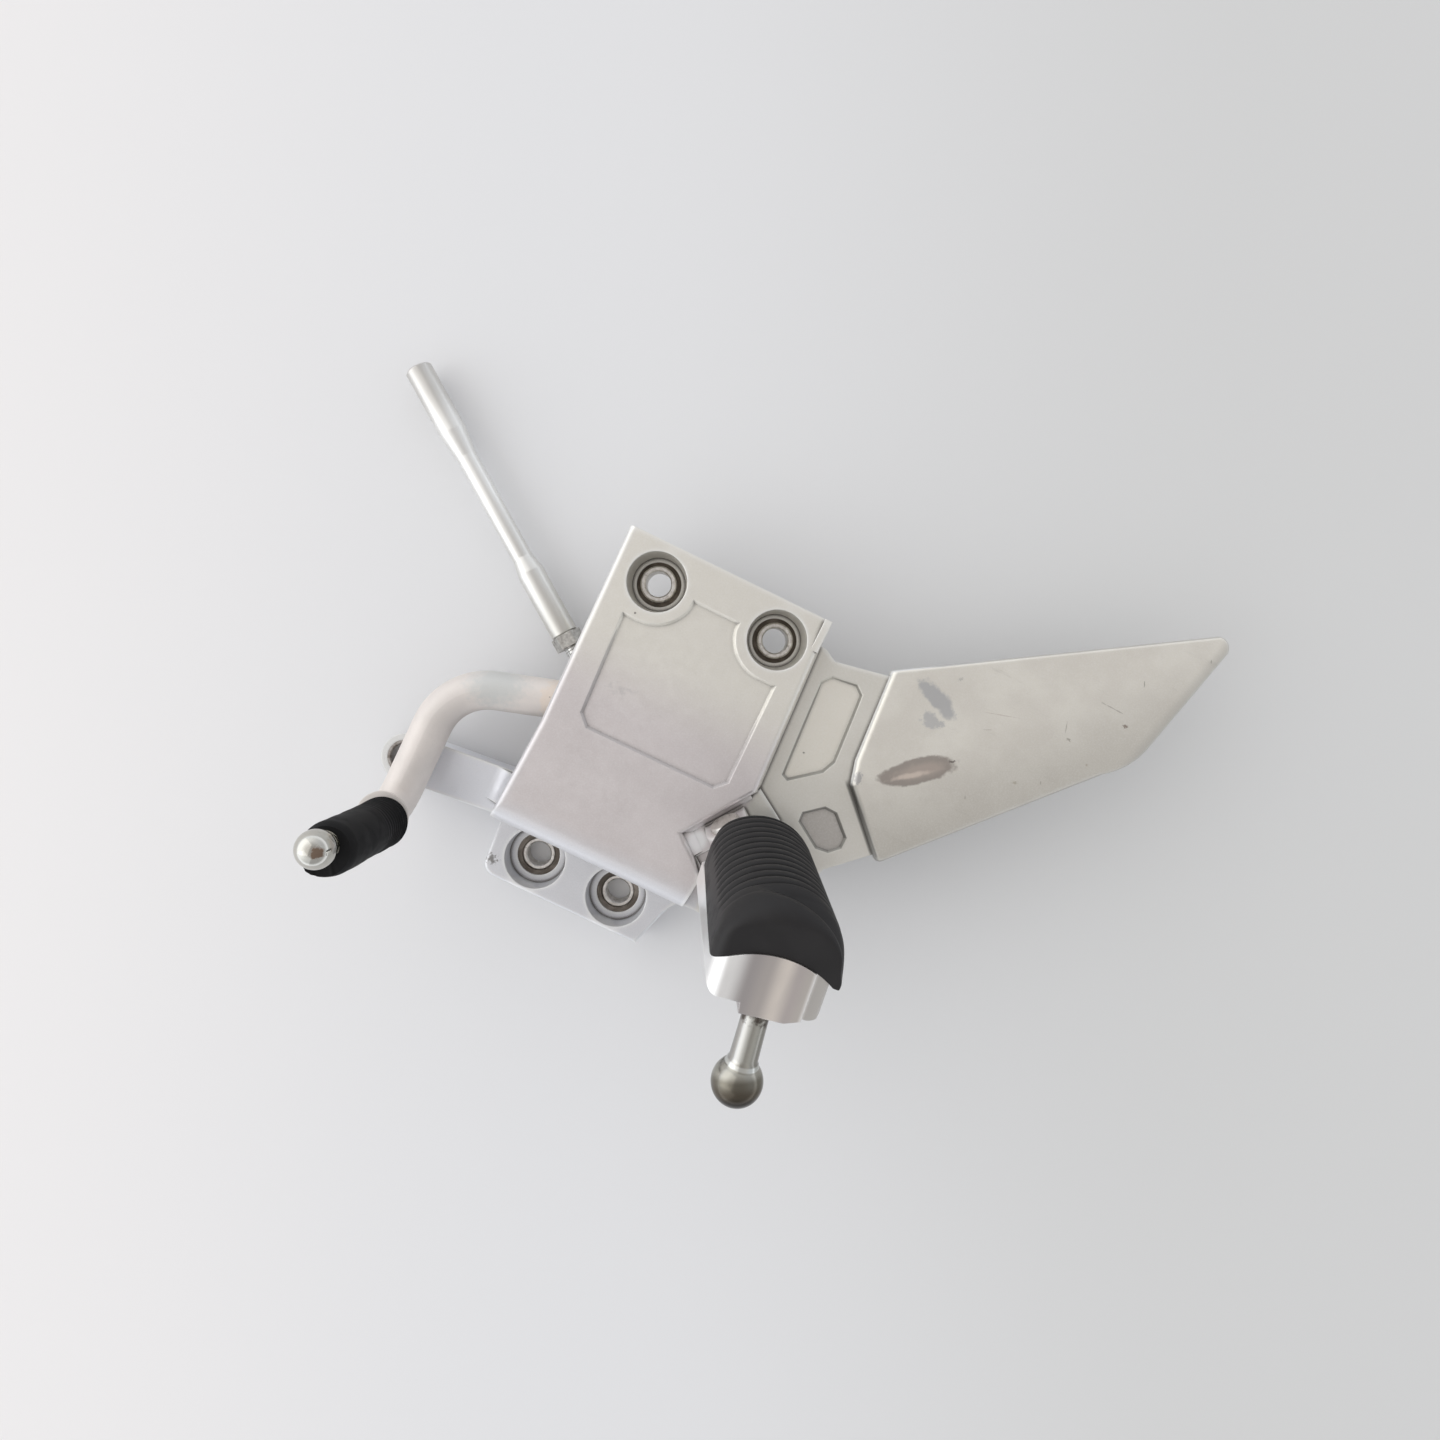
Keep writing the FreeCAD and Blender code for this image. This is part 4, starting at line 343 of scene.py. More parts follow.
# Marks on the casting and one painted highlight: centre and reach in millimetres, turn, softness, raggedness,
# tint, strength
CASTING_MARKS_AND_HIGHLIGHT = (
    # grey scuffs of the guard
    ((86.1, 116.1, 38.0), (10.2, 3.6, 12.0), -22.0, 0.4, 0.22, (0.40, 0.41, 0.43), 0.72),
    ((88.4, 108.4, 38.0), (5.0, 2.9, 12.0), -8.0, 0.5, 0.4, (0.42, 0.43, 0.45), 0.6),
    # brown scuff of the guard: its rim, its bed and the bare streak in it
    ((91.4, 90.8, 38.0), (15.2, 4.8, 12.0), 38.0, 0.2, 0.12, (0.27, 0.23, 0.205), 0.8),
    ((91.6, 90.6, 38.0), (12.6, 3.5, 12.0), 38.0, 0.6, 0.2, (0.47, 0.405, 0.36), 0.9),
    ((89.6, 88.2, 38.0), (9.0, 1.2, 12.0), 38.0, 0.8, 0.3, (0.74, 0.64, 0.56), 0.7),
    # fine scratches of the guard
    ((148.6, 151.7, 38.0), (1.4, 0.25, 12.0), -66.0, 0.6, 0.2, (0.24, 0.22, 0.19), 0.7),
    ((165.9, 168.7, 38.0), (0.9, 0.25, 12.0), -64.0, 0.6, 0.2, (0.24, 0.22, 0.19), 0.7),
    ((131.0, 126.3, 38.0), (2.7, 0.25, 12.0), -73.0, 0.6, 0.2, (0.34, 0.31, 0.27), 0.6),
    ((131.6, 105.6, 38.0), (0.9, 0.25, 12.0), -64.0, 0.6, 0.2, (0.30, 0.27, 0.23), 0.6),
    ((110.3, 89.6, 38.0), (0.9, 0.25, 12.0), -64.0, 0.6, 0.2, (0.30, 0.27, 0.23), 0.6),
    ((108.8, 120.7, 38.0), (7.6, 0.25, 12.0), 16.0, 0.8, 0.4, (0.50, 0.43, 0.38), 0.5),
    ((106.8, 114.1, 38.0), (2.2, 0.22, 12.0), 26.0, 0.6, 0.3, (0.48, 0.44, 0.38), 0.5),
    ((143.0, 139.5, 37.0), (5.6, 0.25, 12.0), -2.0, 0.6, 0.5, (0.36, 0.33, 0.30), 0.6),
    # specks of the guard
    ((90.7, 125.7, 38.0), (0.8, 1.3, 12.0), -40.0, 0.8, 0.5, (0.45, 0.44, 0.41), 0.6),
    ((123.4, 101.7, 38.0), (1.2, 0.7, 12.0), 26.0, 0.6, 0.5, (0.40, 0.36, 0.28), 0.6),
    ((143.1, 118.0, 38.0), (0.6, 0.5, 12.0), 0.0, 0.5, 0.4, (0.40, 0.34, 0.27), 0.6),
    ((73.9, 79.6, 38.0), (1.7, 2.6, 12.0), 20.0, 0.4, 0.3, (0.38, 0.38, 0.39), 0.7),
    ((100.6, 98.9, 38.0), (1.3, 0.5, 12.0), 30.0, 0.5, 0.6, (0.12, 0.10, 0.09), 0.8),
    ((149.2, 135.8, 37.0), (1.1, 0.7, 12.0), 20.0, 0.5, 0.6, (0.22, 0.17, 0.14), 0.8),
    ((133.5, 123.2, 37.0), (0.9, 0.6, 12.0), 0.0, 0.5, 0.6, (0.30, 0.27, 0.23), 0.7),
    # painted highlight on the corner of the clevis
    ((33.1, 35.8, 40.0), (5.0, 5.4, 9.0), 0.0, 0.6, 0.0, (0.95, 0.965, 0.97), 0.85),
    # chip of the pad, two marks of the plate, speck of the web
    ((-30.8, -6.9, 16.0), (2.2, 2.0, 3.0), 30.0, 0.7, 1.0, (0.16, 0.15, 0.14), 0.8),
    ((-19.6, 97.4, 42.0), (0.45, 0.45, 3.0), 0.0, 0.6, 0.2, (0.08, 0.07, 0.06), 0.9),
    ((-14.0, 71.3, 42.0), (6.0, 2.6, 3.0), 20.0, 0.9, 0.7, (0.46, 0.45, 0.45), 0.35),
    ((53.5, 79.2, 34.5), (0.5, 0.4, 3.0), 0.0, 0.5, 0.5, (0.12, 0.11, 0.10), 0.9),
)
MARK_GRAIN = 0.45


def lacquer(paint):
    """Lacquer of plate, lower pad, lug and web, each in its own tint, with painted bluish reflected light on
    the pad and lug.
    """
    cloud = paint.spread(paint.grain(26.0, detail=2.0))
    plate = paint.mix(cloud, *PLATE_TINTS)
    plate = paint.mix(paint.step("Y", PLATE_REAR_Y), plate, PLATE_REAR_TINT)
    # Painted bluish reflected light on the lower pad and the lug's foot, then painted pale light on the lug
    pad_and_lug_reflection = paint.combine("MAXIMUM", paint.step("Y", PAD_Y), paint.step("X", LUG_FOOT_X))
    plate = paint.mix(pad_and_lug_reflection, plate, PAD_PAINTED_REFLECTION)
    plate = paint.mix(paint.step("X", LUG_X), plate, LUG_PAINTED_LIGHT)
    plate = paint.mix(paint.step("X", EYE_X), plate, EYE_TINT)
    colour = paint.mix(paint.step("X", WEB_X), plate, paint.mix(cloud, *WEB_TINTS))
    inset = paint.times(paint.step("Z", INSET_MOUTH_Z), paint.step("X", INSET_X),
                        paint.step("Z", INSET_FLOOR_Z))
    inset_tint = paint.mix(paint.step("Y", INSET_LOWER_Y), INSET_UPPER_TINT, INSET_LOWER_TINT)
    return paint.mix(inset, colour, inset_tint)


def guard_lacquer_and_shade(paint):
    """Lacquer of the heel guard, with painted shade darkening it towards its lower edge."""
    cloud = paint.span(paint.grain(14.0, detail=4.0), 0.35, 0.7)
    # Painted shade, darker towards the guard's lower edge
    fall = paint.slope(paint.lean(ORIGIN, GUARD_SHADE_DIRECTION), GUARD_SHADE_REACH, to_high=0.54)
    return paint.mix(fall, paint.mix(cloud, *GUARD_TINTS), GUARD_LOW_SHADE)


def casting_wear_and_highlight(paint, colour):
    """Scuffs, scratches and specks of the casting, faint streaks on its guard, and a painted highlight on the
    clevis corner.
    """
    for centre, reach, turn, soft, ragged, shade, strength in CASTING_MARKS_AND_HIGHLIGHT:
        mask = paint.spot(centre, reach, turn, soft, ragged, size=reach[0] * MARK_GRAIN)
        colour = paint.tint(colour, mask, shade, strength)
    streaks = paint.grain(9.0, detail=4.0, roughness=0.7, stretch=(0.35, 2.4, 1.0), turn=35.0)
    worn = paint.times(paint.span(streaks, 0.6, 0.78), paint.step("X", WORN_X))
    return paint.tint(colour, worn, WORN_TINT, strength=0.28)


def casting_walls(paint, colour, upright):
    """Painted shadow in the groove beside the guard, painted shade on the walls of panel and insets, and
    painted shade and highlight on the step's face.
    """
    # Painted shadow in the groove beside the guard
    across = paint.lean(ORIGIN, GROOVE_ACROSS)
    along = paint.lean(ORIGIN, GROOVE_ALONG)
    darkening = paint.times(*[paint.slope(across, side) for side in GROOVE_SIDES],
                        *[paint.slope(along, end) for end in GROOVE_ENDS])
    colour = paint.tint(colour, darkening, GROOVE_SHADOW, strength=0.8)
    # Painted shade on the walls of the sunk panel and the insets
    wall = paint.span(upright, *WALL_TILT)
    for place, strength, shade in ((PANEL_WALLS, 0.6, PANEL_WALL_SHADE), (INSET_WALLS, 0.8, INSET_WALL_SHADE)):
        mask = paint.times(paint.spot(*place, soft=0.05), wall)
        colour = paint.tint(colour, mask, shade, strength)
    # Painted shade low on the step's face and a painted highlight high on it
    step = paint.times(paint.span(upright, *STEP_TILT), paint.step("X", STEP_BEGIN_X),
                       paint.step("X", STEP_END_X), paint.step("Z", STEP_Z))
    step_light_and_shade = paint.mix(paint.step("Y", STEP_UPPER_Y), STEP_LOWER_SHADE, STEP_UPPER_HIGHLIGHT)
    return paint.tint(colour, step, step_light_and_shade, strength=0.9)


def casting_edges(paint, colour, upright, guard):
    """Painted shade in crevices, painted highlights on ridges, painted shade on the guard's rolled rim, and a
    painted shadow band along the guard's tip.
    """
    # Painted shade in crevices
    crevice_shade = paint.span(paint.nearby(1.6), 0.97, 0.58, to_high=0.9)
    colour = paint.mix(crevice_shade, colour, CREVICE_SHADE)
    # Painted highlight on ridges and convex edges
    ridge = paint.span(paint.nearby(2.8, inside=True), 0.80, 0.62, to_high=0.55)
    colour = paint.mix(paint.times(ridge, paint.step("X", RIDGE_X, to_low=0.2)), colour, RIDGE_HIGHLIGHT)
    # Painted shade on the walls of the guard's rolled rim
    rim = paint.times(paint.span(upright, *WALL_TILT), paint.step("X", RIM_X, to_high=0.6))
    colour = paint.mix(rim, colour, RIM_SHADE)
    # Painted shadow band along the slanted edge of the guard's tip
    tip = paint.slope(paint.lean(GUARD_TIP, TIP_OUTWARD), TIP_BAND, to_high=0.5)
    return paint.mix(paint.times(tip, guard), colour, TIP_SHADOW)


def cast_alloy():
    """Silver-lacquered casting: fine sparkle, warm web, worn heel guard with its scuffs, and painted light
    and shade on its pad, lug, guard, walls and edges.
    """
    paint = Shader("cast_alloy")
    normal = paint.add("ShaderNodeNewGeometry").outputs["Normal"]
    upright = paint.add("ShaderNodeSeparateXYZ", {0: normal}).outputs["Z"]
    raised = paint.times(paint.step("Z", GUARD_Z), paint.step("X", GUARD_STEP_X))
    guard = paint.combine("MAXIMUM", raised, paint.step("X", GUARD_X))
    colour = paint.mix(guard, lacquer(paint), guard_lacquer_and_shade(paint))
    flakes = paint.grain(0.55, detail=2.0, roughness=0.7)
    pits = paint.grain(0.7, detail=2.0, roughness=0.7)
    colour = paint.mix(paint.span(flakes, 0.35, 0.8, to_high=0.16), colour, FLAKE_TINT)
    colour = paint.mix(paint.span(pits, 0.6, 0.85, to_high=0.2), colour, PIT_TINT)
    colour = casting_wear_and_highlight(paint, colour)
    colour = casting_walls(paint, colour, upright)
    colour = casting_edges(paint, colour, upright, guard)
    paint.set(Base_Color=colour, Metallic=0.5, Roughness=paint.spread(paint.grain(3.0), 0.30, 0.40))
    paint.relief(flakes, depth=0.03, strength=0.35, edge=0.5)
    return paint.material


def forged_alloy():
    """Satin bar of the gear pedal: warm grey with a fine grain, greyer at its bend, warmer by the plate."""
    paint = Shader("forged_alloy")
    bar_tints = ((0.69, 0.645, 0.61), (0.745, 0.695, 0.655))
    bend_tint = (0.58, 0.585, 0.57)
    warm_tint = (0.74, 0.645, 0.56)
    speck_tint = (0.10, 0.08, 0.07)
    pore_tint = (0.45, 0.43, 0.41)
    pores = paint.grain(0.6, detail=2.0, roughness=0.7)
    colour = paint.mix(paint.spread(paint.grain(12.0)), *bar_tints)
    bend = paint.spot((-53.5, 54.0, 27.0), (14.0, 11.0, 40.0), turn=30.0, soft=0.7, ragged=0.15)
    colour = paint.mix(bend, colour, bend_tint)
    warm = paint.spot((-31.0, 58.0, 27.0), (8.5, 9.0, 30.0), soft=0.3, ragged=0.15)
    colour = paint.tint(colour, warm, warm_tint, strength=0.8)
    speck = paint.spot((-35.0, 57.9, 27.0), (0.8, 0.5, 5.0), turn=30.0, soft=0.5, ragged=0.3)
    colour = paint.mix(speck, colour, speck_tint)
    colour = paint.mix(paint.span(pores, 0.55, 0.85, to_high=0.22), colour, pore_tint)
    paint.set(Base_Color=colour, Metallic=0.25, Roughness=paint.spread(paint.grain(2.0), 0.44, 0.56))
    paint.relief(pores, depth=0.03, strength=0.35, edge=0.5)
    return paint.material


def bright_metal(name, light, dark, roughness, dirt=0.0):
    """Turned or plated steel with streaks and, where it is dirty, brown grime."""
    metal = Shader(name)
    dark_brown_tint = (0.10, 0.075, 0.055)
    streak = metal.grain(1.4, roughness=0.6, stretch=(1.0, 1.0, 0.3))
    colour = metal.mix(metal.spread(streak), dark, light)
    if dirt:
        darkening = metal.span(metal.grain(2.6, detail=5.0, roughness=0.7), 0.62 - dirt * 0.2, 0.72)
        colour = metal.tint(colour, darkening, dark_brown_tint, strength=0.85)
        metal.set(Metallic=metal.between(darkening, 1.0, 0.25))
    else:
        metal.set(Metallic=1.0)
    metal.set(Base_Color=colour, Roughness=metal.spread(streak, roughness * 0.8, roughness * 1.25))
    metal.relief(streak, depth=0.01, strength=0.3, edge=0.25)
    return metal.material


def satin_zinc():
    """Smooth bright plating of the link rod, with painted sheen paler in its middle and painted shade darker
    towards its ends.
    """
    metal = Shader("satin_zinc")
    rod_sheen_tints = ((24.0, (0.62, 0.61, 0.57)), (60.0, (0.74, 0.735, 0.71)), (95.0, (0.86, 0.86, 0.84)),
                   (112.0, (0.84, 0.84, 0.82)), (130.0, (0.64, 0.63, 0.605)), (150.0, (0.52, 0.505, 0.485)))
    cloud_tint = (0.55, 0.54, 0.51)
    cloud = metal.spread(metal.grain(18.0))
    # Painted sheen and shade along the rod: paler in its middle, darker towards its ends
    body = metal.ramp(metal.lean(rod_ball, rod_axis), rod_sheen_tints)
    colour = metal.tint(body, cloud, cloud_tint, strength=0.15)
    metal.set(Base_Color=colour, Metallic=0.8, Roughness=metal.between(cloud, 0.30, 0.36))
    metal.relief(metal.grain(0.5, detail=2.0), depth=0.004, strength=0.2, edge=0.3)
    return metal.material


def chrome_cap():
    """Polished ball of the pedal's peg with one rust spot and fine pits."""
    metal = Shader("chrome_cap")
    chrome_tint = (0.52, 0.51, 0.47)
    pit_tint = (0.22, 0.18, 0.13)
    rust_tint = (0.17, 0.115, 0.08)
    rust_offset = Vector((2.3, 1.0, -1.5))
    low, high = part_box("pedal_peg")
    top = Vector(((low.x + high.x) / 2.0, (low.y + high.y) / 2.0, high.z)) / MM
    rust = metal.spot(top + rust_offset, (1.9, 2.3, 4.0), turn=25.0, soft=0.4, ragged=0.3)
    pits = metal.span(metal.grain(0.9, roughness=0.7), 0.66, 0.78)
    colour = metal.tint(chrome_tint, pits, pit_tint, strength=0.4)
    colour = metal.mix(rust, colour, rust_tint)
    dull = metal.combine("MAXIMUM", rust, metal.times(pits, 0.5))
    metal.set(Base_Color=colour, Metallic=metal.between(rust, 1.0, 0.3),
              Roughness=metal.between(dull, 0.13, 0.6))
    metal.relief(metal.grain(0.7), depth=0.02, strength=0.25)
    return metal.material


def carrier_alloy():
    """Satin alloy of the footpeg's carrier, brushed along its height, with painted highlight and shade bands
    across it.
    """
    metal = Shader("carrier_alloy")
    across_sheen_tints = ((-18.0, (0.97, 0.97, 0.96)), (-11.5, (0.97, 0.965, 0.95)), (-6.5, (0.45, 0.42, 0.415)),
                    (-2.0, (0.54, 0.50, 0.475)), (2.5, (0.86, 0.79, 0.72)), (6.5, (0.58, 0.53, 0.51)),
                    (9.6, (0.62, 0.58, 0.54)), (10.8, (0.93, 0.91, 0.88)), (12.2, (0.60, 0.58, 0.55)),
                    (18.0, (0.66, 0.64, 0.61)))
    brush_tint = (0.45, 0.43, 0.41)
    brush = metal.grain(3.0, detail=2.0, roughness=0.5, stretch=(1.0, 0.25, 0.25))
    # Painted highlight and shade bands across the carrier
    painted_sheen = metal.ramp(metal.lean(peg_pin, peg_place.to_3x3().col[0]), across_sheen_tints)
    colour = metal.mix(metal.spread(brush, to_high=0.12), painted_sheen, brush_tint)
    metal.set(Base_Color=colour, Metallic=0.9, Roughness=0.3)
    metal.relief(brush, depth=0.01, strength=0.1, edge=0.45)
    return metal.material


def feeler_steel():
    """Steel feeler: neck with painted highlight and shade bands across it, a painted highlight ring at its
    shoulder, darker at its foot, ball end darkening to near black towards one side.
    """
    metal = Shader("feeler_steel")
    across_sheen_tints = ((-4.2, (0.36, 0.35, 0.33)), (-2.6, (0.52, 0.51, 0.48)), (-0.4, (0.36, 0.35, 0.315)),
                    (0.9, (0.46, 0.45, 0.40)), (2.6, (0.29, 0.28, 0.25)), (4.2, (0.22, 0.21, 0.19)))
    ball_tints = ((-7.4, (0.36, 0.355, 0.32)), (-3.4, (0.36, 0.35, 0.31)), (-1.2, (0.17, 0.158, 0.13)),
                  (2.0, (0.10, 0.085, 0.065)), (5.0, (0.03, 0.026, 0.022)), (7.4, (0.014, 0.012, 0.011)))
    ring_highlight = (0.74, 0.76, 0.73)
    dark_brown_tint = (0.07, 0.055, 0.045)
    ball_begin = (16.6, 17.0)
    ring_begin, ring_end = (15.7, 16.2), (17.4, 16.9)
    foot_dark_end, foot_dark_sway = (3.4, 1.2), 1.6 * MM
    ball_dark_side = Vector((0.4332, -0.8990, 0.0651)).normalized()
    ball = peg_place @ (FEELER_BALL * MM)
    foot = peg_place @ (FEELER_FOOT * MM)
    axis = (ball - foot).normalized()
    side = (RIGHT - axis * RIGHT.dot(axis)).normalized()
    reach = metal.lean(foot, axis)
    streak = metal.grain(1.6, detail=2.0)
    # Painted highlight and shade bands across the neck
    neck = metal.ramp(metal.lean(ball, side), across_sheen_tints)
    # Ball end darkening to near black towards one side
    knob = metal.ramp(metal.lean(ball, ball_dark_side), ball_tints)
    colour = metal.mix(metal.slope(reach, ball_begin), neck, knob)
    # Painted highlight ring at the shoulder between neck and ball
    ring = metal.times(metal.slope(reach, ring_begin), metal.slope(reach, ring_end))
    colour = metal.tint(colour, ring, ring_highlight, strength=0.6)
    # Darker at the foot, with an uneven edge
    uneven = metal.spread(metal.grain(3.0, detail=4.0), -foot_dark_sway, foot_dark_sway)
    darkening = metal.slope(metal.combine("ADD", reach, uneven), foot_dark_end, to_high=0.92)
    colour = metal.mix(darkening, colour, dark_brown_tint)
    metal.set(Base_Color=colour, Metallic=0.95, Roughness=metal.spread(streak, 0.16, 0.24))
    metal.relief(streak, depth=0.006, strength=0.15)
    return metal.material


def rubber(name, dark, dust, roughness, dust_share, shine=0.3):
    """Matte rubber with fine pores and dust, with painted shade darkening its grooves."""
    skin = Shader(name)
    patch = skin.span(skin.grain(9.0, detail=5.0, roughness=0.6), 0.42, 0.72)
    colour = skin.tint(dark, patch, dust, dust_share)
    # Painted shade in the grooves
    crevice_shade = skin.span(skin.nearby(2.4), 0.985, 0.70, to_high=0.95)
    colour = skin.mix(crevice_shade, colour, tuple(0.12 * share for share in dark))
    skin.set(Base_Color=colour, Roughness=skin.between(patch, roughness, roughness + 0.15))
    skin.set(Specular_IOR_Level=shine)
    skin.relief(skin.grain(0.5, detail=2.0, roughness=0.6), depth=0.03, strength=0.25)
    return skin.material


def mesh_piece(name, points, faces, material):
    """Smooth mesh object with one material, in the part's frame."""
    mesh = bpy.data.meshes.new(name)
    mesh.from_pydata([tuple(point) for point in points], [], faces)
    mesh.validate()
    mesh.update()
    for polygon in mesh.polygons:
        polygon.use_smooth = True
    mesh.set_sharp_from_angle(angle=math.radians(CREASE))
    piece = bpy.data.objects.new(name, mesh)
    scene.collection.objects.link(piece)
    piece.data.materials.append(material)
    return piece


def close(piece):
    """Joins points that meet and turns all faces outwards."""
    weld = bmesh.new()
    weld.from_mesh(piece.data)
    bmesh.ops.remove_doubles(weld, verts=weld.verts, dist=WELD_GAP)
    bmesh.ops.recalc_face_normals(weld, faces=weld.faces)
    weld.to_mesh(piece.data)
    weld.free()
    piece.data.set_sharp_from_angle(angle=math.radians(WELDED_CREASE))


def grid_faces(rows, columns, closed):
    """Faces of a grid of points, closed or open from its last column to its first."""
    faces = []
    for i in range(rows - 1):
        for j in range(columns if closed else columns - 1):
            k = (j + 1) % columns
            faces.append((i * columns + j, i * columns + k, (i + 1) * columns + k, (i + 1) * columns + j))
    return faces


def ease(value, low, high):
    """Soft step from 0 at low to 1 at high, which may lie below low."""
    share = min(max((value - low) / (high - low), 0.0), 1.0)
    return share * share * (3.0 - 2.0 * share)


def rounding(depth, radius):
    """How far a rounded corner falls back at this depth from its end."""
    share = min(max(1.0 - depth / radius, 0.0), 1.0)
    return radius * (1.0 - math.sqrt(1.0 - share * share))


def pedal_sleeve(material):
    """Rubber sleeve of the gear pedal: fine rings near its foot and a frayed lip by the cap."""
    low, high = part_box("pedal_rubber")
    centre = (low + high) / 2.0
    skin_sink = 0.55 * MM
    radius = (high.x - low.x) / 2.0 - skin_sink
    length = high.z - low.z
    # Mesh: points around the sleeve and levels along it
    around, levels = 96, 150
    # Bore: its radius, how deep its rim lies, and its place
    core_radius, core_sink = 4.5 * MM, 0.3 * MM
    core_x, core_y = centre.x - 1.0 * MM, centre.y + 1.4 * MM
    # Rings: pitch, height, sway around the sleeve, and the share of the length over which they fade
    ring_pitch, ring_height, ring_sway, ring_share = 2.1 * MM, 0.5 * MM, 0.5, 0.42
    # Uneven skin: its height, and how fast it changes around and along the sleeve
    wobble_height, wobble_around, wobble_along = 0.25 * MM, 1.5, 6.0
    # Lip: the share of the length where it begins, and the turn of the side that sticks out
    lip_begin, lip_turn = 0.93, 0.35
    # How far that side rises, its even part, and how fast its fray changes around the sleeve
    lip_rise, lip_even, fray_around, fray_seed = 1.44 * MM, 0.6, 5.0, 3.0
    # How far the rest of the lip is pulled in, and how much of that the side resists
    lip_pull, lip_hold = 1.2 * MM, 0.6
    points = []
    for i in range(levels):
        rise = i / (levels - 1.0)
        fade = max(0.0, 1.0 - rise / ring_share)
        past = max(0.0, (rise - lip_begin) / (1.0 - lip_begin))
        for j in range(around):
            turn = FULL_TURN * j / around
            out = Vector((math.cos(turn), math.sin(turn), 0.0))
            ring = math.sin(FULL_TURN * rise * length / ring_pitch + ring_sway * math.sin(turn * 2.0))
            wobble = noise.noise(out * wobble_around + UP * rise * wobble_along)
            fray = noise.noise(out * fray_around + UP * fray_seed)
            below = max(0.0, -math.sin(turn + lip_turn))
            reach = radius + ring_height * ring * fade + wobble_height * wobble
            reach -= lip_pull * past ** 2 * (1.0 - lip_hold * below)
            z = low.z + rise * length + lip_rise * past * below * (lip_even + fray)
            points.append((centre.x + reach * out.x, centre.y + reach * out.y, z))
    for z in (high.z - core_sink, low.z):
        for j in range(around):
            turn = FULL_TURN * j / around
            points.append((core_x + core_radius * math.cos(turn), core_y + core_radius * math.sin(turn), z))
    faces = grid_faces(levels + 2, around, True)
    last = (levels + 1) * around
    for j in range(around):
        k = (j + 1) % around
        faces.append((last + j, last + k, k, j))
    return mesh_piece("pedal_sleeve", points, faces, material)


